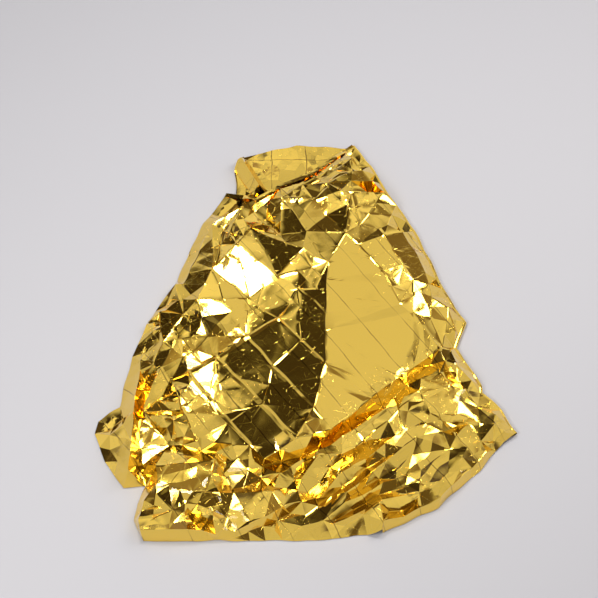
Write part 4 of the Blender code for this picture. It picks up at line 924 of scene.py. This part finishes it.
def pinched(crease):
    """The crest and both feet of a raised double line."""
    path = [place.xy for place in path_of(crease)]
    lines = [path]
    for side in (-1, 1):
        foot = []
        for i, place in enumerate(path):
            along = (path[min(i + 1, len(path) - 1)] - path[max(i - 1, 0)]).normalized()
            foot.append(place + side * Vector((-along.y, along.x)) * crease.width * CM)
        lines.append(foot)
    return lines


def packet_lines(outline):
    """The lines along which the sheet was folded into its packet, clear of the outline."""
    turn = math.radians(GRID_TURN)
    along = np.array((math.cos(turn), math.sin(turn)))
    across = np.array((-math.sin(turn), math.cos(turn)))
    lines = []
    for n in range(-PACKET_FOLDS, PACKET_FOLDS + 1):
        middle = along * n * PACK_PITCH_LONG
        lines += clipped(middle - across, middle + across, outline, PACKET_CLEAR)
        middle = across * (n * PACK_PITCH_SHORT + PACK_OFFSET)
        lines += clipped(middle - along, middle + along, outline, PACKET_CLEAR)
    return lines


def top_net(layer):
    """The top layer's fine net: places, heights and crumple, and triangles."""
    low, high = plan(layer.outline).min(0), plan(layer.outline).max(0)
    rim = [tuple(place) for place in layer.rim[:-1]]
    links = [[tuple(layer.net[start]), tuple(layer.net[end])] for start, end in layer.edges]
    pinches = [line for crease in PACK_CREASES for line in pinched(crease)]
    lines = links + pinches + packet_lines(layer.outline)
    fixed = [tuple(place)[:2] for line in lines for place in line] + rim
    wanted = lattice(low, high, SMALL_FACET, layer.dice)
    wanted = wanted[inside(wanted, layer.outline)]
    loose = spread(fixed, wanted, [layer.rim], CLOSEST_SMALL)
    places, triangles, _, _ = net_of(rim, lines, loose)
    share = layer.crumple_share(places)
    busy = share * eased(BUSY_SHARE + BUSY_CONTRAST * waves(places, CALM_SPAN, CALM_NOISE))
    settle = eased(nearest(places, layer.rim)[0] / RELIEF_REACH)
    crumple = layer.dice.uniform(-1, 1, len(places)) * SMALL_RISE * busy
    crumple += accordion(places, GRID_TURN) * share
    for crease in PACK_CREASES:
        away = nearest(places, path_of(crease))[0]
        crumple += crease.rise * CM * np.maximum(0, 1 - away / (crease.width * CM))
    heights = layer.height(places) + crumple * settle
    return split_net(places, triangles, np.column_stack([heights, busy]), FACET_SPLITS)


def grid_places(places, turn):
    """Places in the sheet's own directions, which lie turned on the floor."""
    cosine, sine = math.cos(math.radians(turn)), math.sin(math.radians(turn))
    return np.column_stack([places @ (cosine, sine), places @ (-sine, cosine) - PACK_OFFSET])


def film_of(places, turn, busy, pleats=0.0):
    """The film's own coordinates, how crumpled it is and how far it lies inside the reach of the pleats."""
    spreads = [np.broadcast_to(value, len(places)) for value in (busy, pleats)]
    return np.column_stack([grid_places(places, turn)] + spreads)


def accordion(places, turn):
    """The slight zigzag that the packet's folds leave in the sheet."""
    along, across = grid_places(places, turn).T
    lengthwise = PACK_RISE_LONG * zigzag(along, PACK_PITCH_LONG)
    return lengthwise + PACK_RISE_SHORT * zigzag(across, PACK_PITCH_SHORT)


class Sheet:
    """Collects the sheet's layers and bends as one mesh."""

    def __init__(self):
        self.places = []
        self.film = []
        self.faces = []
        self.count = 0

    def add(self, places, film, faces):
        first = self.count
        self.places.append(places)
        self.film.append(film)
        self.faces.append(np.asarray(faces, int).reshape(-1, 3) + first)
        self.count += len(places)
        return first + np.arange(len(places))

    def all_places(self):
        return np.concatenate(self.places)

    def all_film(self):
        return np.concatenate(self.film)

    def strip(self, rows):
        """Faces between rows of point numbers of one length."""
        faces = []
        for near, far in zip(rows, rows[1:]):
            for i in range(len(near) - 1):
                faces.append((near[i], near[i + 1], far[i + 1]))
                faces.append((near[i], far[i + 1], far[i]))
        self.faces.append(np.array(faces, int))


def along_path(places, path):
    """Numbers of the places that lie on a path, in its order."""
    away, how_far = nearest(places, path)
    on = np.flatnonzero(away < ON_LINE)
    return on[np.argsort(how_far[on])]


def square_to(places):
    """Level unit vectors to the right of a run of places."""
    along = np.gradient(places[:, :2], axis=0)
    square = np.column_stack([along[:, 1], -along[:, 0]])
    return square / np.linalg.norm(square, axis=1)[:, None]


def add_bend(sheet, lower, upper, bulge):
    """A half-round bend between two layers' edges, point for point."""
    places, film = sheet.all_places(), sheet.all_film()
    outward = -square_to(places[lower])
    rows = [lower]
    for step in range(1, FOLD_STEPS):
        angle = math.pi * step / FOLD_STEPS
        share = (1 - math.cos(angle)) / 2
        bent = places[lower] * (1 - share) + places[upper] * share
        bent[:, :2] += outward * bulge * math.sin(angle)
        rows.append(sheet.add(bent, film[upper], []))
    sheet.strip(rows + [upper])


def flat_net(outline, folds=(), uneven=0.0):
    """A nearly flat net inside an outline, its corners uneven by so much: places, heights and triangles."""
    low, high = plan(outline).min(0), plan(outline).max(0)
    dice = np.random.default_rng(CRUMPLE_SEED)
    ring = outline + outline[:1]
    loose = spread([], lattice(low, high, UNDER_STEP, dice), [ring, *folds], UNDER_STEP / 3)
    loose = loose[inside(loose, outline)]
    net, triangles, _, _ = net_of(resampled(ring, EDGE_STEP)[:-1], folds, loose)
    heights = dice.uniform(0, 1, (len(net), 1)) * uneven
    places, heights, faces = split_net(net, triangles, heights, FACET_SPLITS)
    return places, heights[:, 0], faces


def add_top_layer(sheet, top):
    """The crumpled top layer and its turned-back collar. Returns the points along its folded side."""
    places, values, faces = top_net(top)
    heights, busy = values.T
    settle = eased(nearest(places, top.rim)[0] / RELIEF_REACH)
    for crease in top.creases:
        on = nearest(places, crease)[0] < ON_LINE
        heights[on] += CREST_PINCH * settle[on]
    soft = SOFT_ON_PANELS + (1 - SOFT_ON_PANELS) * top.crumple_share(places)
    heights = heights + SOFT_RISE * waves(places, SOFT_SPAN, SOFT_NOISE) * settle * soft
    heights = np.maximum(heights, np.where(settle > 0, top.lowest(places), 0))
    pleats = np.maximum(0, PLEATS_REACH - nearest(places, points_of(HEM))[0])
    film = film_of(places, GRID_TURN, busy, pleats)
    upper = sheet.add(np.column_stack([places, heights]), film, faces)

    on_collar = along_path(places, top.collar)
    edge = plan(places[on_collar])
    outward = -square_to(edge)
    rows = [upper[on_collar]]
    for reach, lift in COLLAR_BAND:
        here = edge + outward * reach
        inner = edge + outward * min(reach, 0)
        base = np.maximum(top.height(inner), top.rim_height(edge) * COLLAR_BAND_BASE)
        film = film_of(here, GRID_TURN, COLLAR_CRUMPLE)
        rows.append(sheet.add(np.column_stack([here, base + lift]), film, []))
    sheet.strip(rows)
    return upper[along_path(places, top.fold_side)]


def add_back_panel(sheet, top, top_side, left_fold):
    """The back panel on the floor and its fold to the top layer. Returns the points along its other fold."""
    middle = sum(top.outline, Vector((0.0, 0.0))) / len(top.outline)
    hem = [point + (middle - point).normalized() * BACK_INSET for point in points_of(HEM)]
    outline = top.fold_side + hem + left_fold + points_of(NECK[1:])
    places, heights, faces = flat_net(outline, uneven=BACK_UNEVEN)
    film = film_of(places, 0, BACK_CRUMPLE)
    lower = sheet.add(np.column_stack([places, BACK_LIFT + heights]), film, faces)
    back_side = lower[along_path(places, top.fold_side)]
    add_bend(sheet, back_side, top_side, SIDE_FOLD_BULGE)
    return lower[along_path(places, left_fold)]


def add_left_flap(sheet, back_left, left_fold):
    """The left flap, flat under the top layer but for the collar that stands up beside the neck."""
    outline = left_fold + hidden_points(UNDER_TOP_EDGE[1:] + UNDER_FREE_EDGE)
    crest = [Vector(place) * CM for place in COLLAR_FOLD]
    along = (crest[1] - crest[0]).normalized()
    reach = Vector((-along.y, along.x)) * COLLAR_FOLD_WIDTH * CM
    folds = [crest] + [[place + reach * side for place in crest] for side in COLLAR_FOLD_LINES]
    places, _, faces = flat_net(outline, folds)
    away = nearest(places, crest)[0]
    stand = COLLAR_FOLD_RISE * CM * np.maximum(0, 1 - away / (COLLAR_FOLD_WIDTH * CM))
    film = film_of(places, -GRID_TURN, FLAP_CRUMPLE)
    flap = sheet.add(np.column_stack([places, UNDER_FLAP_LIFT + stand]), film, faces)
    add_bend(sheet, back_left, flap[along_path(places, left_fold)], LAYER_FOLD_BULGE)


def build_sheet():
    sheet = Sheet()
    top = TopLayer()
    left_fold = hidden_points(LEFT_FOLD + UNDER_TOP_EDGE[:1])
    top_side = add_top_layer(sheet, top)
    back_left = add_back_panel(sheet, top, top_side, left_fold)
    add_left_flap(sheet, back_left, left_fold)
    return sheet


def warped(places):
    """The whole sheet with its straight edges a little uneven."""
    shift = [waves(places[:, :2], WARP_SPAN, seed) * WARP for seed in WARP_NOISE]
    return places + np.column_stack(shift + [np.zeros(len(places))])


def fit_to_frame(places):
    """Moves the sheet so that its plan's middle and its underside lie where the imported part's do."""
    low, high = places.min(0), places.max(0)
    middle = (low + high) / 2
    target = (np.array(cad_low) + np.array(cad_high)) / 2
    places = places - (middle[0] - target[0], middle[1] - target[1], 0)
    places[:, 2] += max(0.0, cad_low.z + FLOOR_GAP - places[:, 2].min())
    return places


def make_blanket():
    sheet = build_sheet()
    places = fit_to_frame(warped(sheet.all_places()))
    film = sheet.all_film() + (SHEET_LENGTH / 2, SHEET_WIDTH / 2, 0, 0)
    faces = np.concatenate(sheet.faces)
    mesh = bpy.data.meshes.new("foil sheet")
    mesh.from_pydata(places.tolist(), [], faces.tolist())
    uv = mesh.uv_layers.new(name="film")
    corners = np.empty(len(mesh.loops), int)
    mesh.loops.foreach_get("vertex_index", corners)
    uv.data.foreach_set("uv", film[corners, :2].ravel())
    for n, name in enumerate(("crumple", "pleats")):
        mesh.attributes.new(name, "FLOAT", "POINT").data.foreach_set("value", film[:, 2 + n].copy())
    build = bmesh.new()
    build.from_mesh(mesh)
    bmesh.ops.recalc_face_normals(build, faces=build.faces)
    top_face = max(build.faces, key=lambda face: face.calc_center_median().z)
    if top_face.normal.z < 0:
        bmesh.ops.reverse_faces(build, faces=build.faces)
    build.to_mesh(mesh)
    build.free()
    mesh.shade_smooth()
    mesh.set_sharp_from_angle(angle=math.radians(RIDGE_ANGLE))
    blanket = bpy.data.objects.new("foil_sheet", mesh)
    bpy.context.scene.collection.objects.link(blanket)
    return blanket


# Materials


def node(tree, kind, inputs=None, **settings):
    """A new node. Each of its named or numbered inputs gets a value, or a link from another node's output."""
    made = tree.nodes.new(kind)
    made.location = (NODE_STEP * len(tree.nodes), 0)
    for name, value in settings.items():
        setattr(made, name, value)
    for socket, value in (inputs or {}).items():
        if isinstance(value, bpy.types.NodeSocket):
            tree.links.new(value, made.inputs[socket])
        else:
            made.inputs[socket].default_value = value
    return made


def math_node(tree, operation, *values, clamp=False):
    inputs = dict(enumerate(values))
    return node(tree, "ShaderNodeMath", inputs, operation=operation, use_clamp=clamp).outputs["Value"]


def vector_node(tree, operation, *values):
    made = node(tree, "ShaderNodeVectorMath", dict(enumerate(values)), operation=operation)
    return made.outputs["Value" if operation == "DOT_PRODUCT" else "Vector"]


def ramp_node(tree, value, start, end):
    """0 at start, 1 at end and eased between them."""
    inputs = {"Value": value, "From Min": start, "From Max": end}
    return node(tree, "ShaderNodeMapRange", inputs, interpolation_type="SMOOTHSTEP").outputs["Result"]


def noise_node(tree, vector, grain, kind="FBM"):
    inputs = {"Vector": vector, "Scale": grain.scale, "Detail": grain.detail}
    made = node(tree, "ShaderNodeTexNoise", inputs, noise_dimensions="2D", noise_type=kind)
    return made.outputs["Fac"]


def mix_node(tree, share, first, second):
    inputs = {"Factor": share, "A": first, "B": second}
    return node(tree, "ShaderNodeMix", inputs, data_type="RGBA").outputs["Result"]


def film_group(name, values, results):
    """A new node group on the film's own coordinates in metres: its tree, given sockets, sockets to fill."""
    tree = bpy.data.node_groups.new(name, "ShaderNodeTree")
    tree.interface.new_socket("Film", in_out="INPUT", socket_type="NodeSocketVector")
    for socket, value in values.items():
        made = tree.interface.new_socket(socket, in_out="INPUT", socket_type="NodeSocketFloat")
        made.default_value = value
    for socket in results:
        tree.interface.new_socket(socket, in_out="OUTPUT", socket_type="NodeSocketFloat")
    return tree, node(tree, "NodeGroupInput").outputs, node(tree, "NodeGroupOutput").inputs


def pack_crease_group():
    """Height of the thin creases that the packet leaves, and how dark the painted shade along them is."""
    values = {"Pitch Long": PACK_PITCH_LONG, "Pitch Short": PACK_PITCH_SHORT}
    values.update({"Width": CREASE_WIDTH, "Crumple": 1.0})
    tree, given, filled = film_group("Pack creases", values, ("Height", "Line"))
    sway = math_node(tree, "SUBTRACT", noise_node(tree, given["Film"], CREASE_WANDER), 0.5)
    sway = math_node(tree, "MULTIPLY", sway, CREASE_SWAY)
    split = node(tree, "ShaderNodeSeparateXYZ", {"Vector": given["Film"]})
    lines = []
    for axis, pitch in (("X", "Pitch Long"), ("Y", "Pitch Short")):
        swayed = math_node(tree, "ADD", split.outputs[axis], sway)
        away = math_node(tree, "PINGPONG", swayed, math_node(tree, "MULTIPLY", given[pitch], 0.5))
        share = math_node(tree, "MINIMUM", math_node(tree, "DIVIDE", away, given["Width"]), 1.0)
        lines.append(math_node(tree, "SUBTRACT", 1.0, share))
    lines[1] = math_node(tree, "MULTIPLY", lines[1], given["Crumple"])
    line = math_node(tree, "MAXIMUM", *lines)
    # How dark the painted shade along each thin crease is, patchy along its length
    shade_patches = noise_node(tree, given["Film"], CREASE_SHADE_PATCHES)
    dark = math_node(tree, "MULTIPLY_ADD", shade_patches, *CREASE_SHADE_CONTRAST, clamp=True)
    tree.links.new(math_node(tree, "MULTIPLY", line, given["Crumple"]), filled["Height"])
    tree.links.new(math_node(tree, "MULTIPLY", line, dark), filled["Line"])
    return tree


def crinkle_group():
    """Height of the film's small crumples: soft waves, crisp facets in two sizes and fine wrinkles."""
    values = {"Crumple": 1.0, "Waves": WAVES_RISE, "Wrinkles": WRINKLES_RISE}
    values.update({"Large Tilt": LARGE_TILT, "Small Tilt": SMALL_TILT})
    tree, given, filled = film_group("Film crinkle", values, ("Height",))
    film = given["Film"]
    rough_places = ramp_node(tree, noise_node(tree, film, ROUGH_PATCHES), *ROUGH_RANGE)
    total = math_node(tree, "MULTIPLY", noise_node(tree, film, SOFT_WAVES), given["Waves"])
    for name, scale, share in (("Large Tilt", LARGE_CELLS, 1.0), ("Small Tilt", SMALL_CELLS, rough_places)):
        inputs = {"Vector": film, "Scale": scale}
        cells = node(tree, "ShaderNodeTexVoronoi", inputs, voronoi_dimensions="2D")
        local = vector_node(tree, "SUBTRACT", film, cells.outputs["Position"])
        lean = vector_node(tree, "SUBTRACT", cells.outputs["Color"], (0.5, 0.5, 0.5))
        facet = math_node(tree, "MULTIPLY", vector_node(tree, "DOT_PRODUCT", local, lean), given[name])
        total = math_node(tree, "ADD", total, math_node(tree, "MULTIPLY", facet, share))
    total = math_node(tree, "MULTIPLY", total, given["Crumple"])
    wrinkles = noise_node(tree, film, WRINKLES, "RIDGED_MULTIFRACTAL")
    wrinkles = math_node(tree, "MULTIPLY", wrinkles, given["Wrinkles"])
    wrinkled = math_node(tree, "MULTIPLY", given["Crumple"], WRINKLED_SHARE, clamp=True)
    wrinkles = math_node(tree, "MULTIPLY", wrinkles, wrinkled)
    tree.links.new(math_node(tree, "ADD", total, wrinkles), filled["Height"])
    return tree


def pleat_group():
    """Height of the uneven folds that run along the gathered hem."""
    values = {"Reach": 0.0, "Pitch": PLEAT_PITCH, "Rise": PLEAT_RISE}
    tree, given, filled = film_group("Gathered pleats", values, ("Height",))
    sway = math_node(tree, "MULTIPLY", noise_node(tree, given["Film"], PLEAT_WANDER), PLEAT_SWAY)
    swayed = math_node(tree, "ADD", given["Reach"], sway)
    fold = math_node(tree, "PINGPONG", swayed, given["Pitch"])
    height = math_node(tree, "DIVIDE", fold, given["Pitch"])
    height = math_node(tree, "MULTIPLY", height, given["Rise"])
    gathered = ramp_node(tree, given["Reach"], 0.0, PLEATS_GATHER)
    uneven = ramp_node(tree, noise_node(tree, given["Film"], PLEAT_PATCHES), *UNEVEN_RANGE)
    share = math_node(tree, "MULTIPLY", gathered, uneven)
    tree.links.new(math_node(tree, "MULTIPLY", height, share), filled["Height"])
    return tree


def film_material():
    material = bpy.data.materials.new("gold metallised film")
    material.use_nodes = True
    tree = material.node_tree
    film = node(tree, "ShaderNodeUVMap", uv_map="film").outputs["UV"]
    crumple = node(tree, "ShaderNodeAttribute", attribute_name="crumple").outputs["Fac"]
    reach = node(tree, "ShaderNodeAttribute", attribute_name="pleats").outputs["Fac"]
    inputs = {"Film": film, "Crumple": crumple}
    creases = node(tree, "ShaderNodeGroup", inputs, node_tree=pack_crease_group()).outputs
    crinkle = node(tree, "ShaderNodeGroup", inputs, node_tree=crinkle_group()).outputs
    inputs = {"Film": film, "Reach": reach}
    pleats = node(tree, "ShaderNodeGroup", inputs, node_tree=pleat_group()).outputs
    # Painted shade: along the thin creases the film's colour is mixed towards dark brown
    dark = math_node(tree, "MULTIPLY", creases["Line"], CREASE_SHADE_STRENGTH)
    lines = math_node(tree, "MULTIPLY", creases["Height"], CREASE_DEPTH)
    height = math_node(tree, "ADD", crinkle["Height"], lines)
    height = math_node(tree, "ADD", height, pleats["Height"])
    bump = node(tree, "ShaderNodeBump", {"Strength": 1.0, "Distance": 1.0, "Height": height})
    dull = noise_node(tree, film, DULL_PATCHES)
    inputs = {"Value": dull, "To Min": FILM_ROUGH_LOW, "To Max": FILM_ROUGH_HIGH}
    rough = node(tree, "ShaderNodeMapRange", inputs).outputs["Result"]
    shader = tree.nodes["Principled BSDF"].inputs
    shader["Metallic"].default_value = 1.0
    shader["Coat Weight"].default_value = COAT_WEIGHT
    shader["Coat Roughness"].default_value = COAT_ROUGH
    # The film's gold, with the painted shade of the thin creases mixed in
    tree.links.new(mix_node(tree, dark, FILM_COLOUR, CREASE_SHADE_COLOUR), shader["Base Color"])
    tree.links.new(bump.outputs["Normal"], shader["Normal"])
    tree.links.new(rough, shader["Roughness"])
    return material


# Studio


def make_floor():
    mesh = bpy.data.meshes.new("studio floor")
    half = FLOOR_SIZE / 2
    corners = [(-half, -half, 0), (half, -half, 0), (half, half, 0), (-half, half, 0)]
    mesh.from_pydata(corners, [], [(0, 1, 2, 3)])
    floor = bpy.data.objects.new("studio_floor", mesh)
    bpy.context.scene.collection.objects.link(floor)
    material = bpy.data.materials.new("studio floor")
    material.use_nodes = True
    shader = material.node_tree.nodes["Principled BSDF"]
    shader.inputs["Base Color"].default_value = FLOOR_COLOUR
    shader.inputs["Roughness"].default_value = FLOOR_ROUGH
    mesh.materials.append(material)
    floor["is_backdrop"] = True


def direction_of(azimuth, elevation):
    """Unit vector towards an azimuth and elevation in degrees."""
    turn, lift = math.radians(azimuth), math.radians(elevation)
    return Vector((math.cos(turn) * math.cos(lift), math.sin(turn) * math.cos(lift), math.sin(lift)))


def aim(holder, away, distance, middle=(0, 0, 0)):
    """Stands a lamp or camera in one direction from a middle, turned to look at it."""
    holder.location = Vector(middle) + away * distance
    holder.rotation_euler = away.to_track_quat("Z", "Y").to_euler()
    bpy.context.scene.collection.objects.link(holder)


def make_room():
    """A grey room with darker and paler places on its walls and ceiling, and a pale glow low down."""
    world = bpy.data.worlds.new("studio walls")
    bpy.context.scene.world = world
    world.use_nodes = True
    tree = world.node_tree
    direction = node(tree, "ShaderNodeTexCoord").outputs["Generated"]
    split = node(tree, "ShaderNodeSeparateXYZ", {"Vector": direction})
    low = ramp_node(tree, split.outputs["Z"], *FLOOR_GLOW_BELOW)
    room = mix_node(tree, low, (*WALL_COLOUR, 1.0), (*FLOOR_GLOW_COLOUR, 1.0))
    for patch in PATCHES:
        middle = direction_of(patch.azimuth, patch.elevation)
        edges = [math.cos(math.radians(patch.radius + side * patch.blur)) for side in (1, -1)]
        tint = DARK_TINT if patch.tone < 1 else PALE_TINT
        colour = [wall * part * patch.tone for wall, part in zip(WALL_COLOUR, tint)]
        share = ramp_node(tree, vector_node(tree, "DOT_PRODUCT", direction, middle), *edges)
        room = mix_node(tree, share, room, (*colour, 1.0))
    background = tree.nodes["Background"]
    tree.links.new(room, background.inputs["Color"])
    background.inputs["Strength"].default_value = WALL_STRENGTH


def make_softboxes():
    for softbox in SOFTBOXES:
        light = bpy.data.lights.new(softbox.name, "AREA")
        light.shape = "RECTANGLE"
        light.size = softbox.width
        light.size_y = softbox.height
        light.energy = softbox.power
        light.color = softbox.colour
        lamp = bpy.data.objects.new(softbox.name, light)
        aim(lamp, direction_of(softbox.azimuth, softbox.elevation), softbox.distance)


def make_camera():
    camera = bpy.data.cameras.new("camera")
    camera.sensor_width = FRAME_WIDTH
    camera.lens = FRAME_WIDTH * VIEW_REACH
    holder = bpy.data.objects.new("camera", camera)
    lift = math.radians(VIEW_ELEVATION)
    aim(holder, Vector((0, -math.cos(lift), math.sin(lift))), VIEW_DISTANCE, VIEW_MIDDLE)
    bpy.context.scene.camera = holder


blanket = make_blanket()
blanket.data.materials.append(film_material())
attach(blanket, "root")
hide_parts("blanket")
make_floor()
make_room()
make_softboxes()
make_camera()
bpy.context.scene.view_settings.view_transform = "Standard"
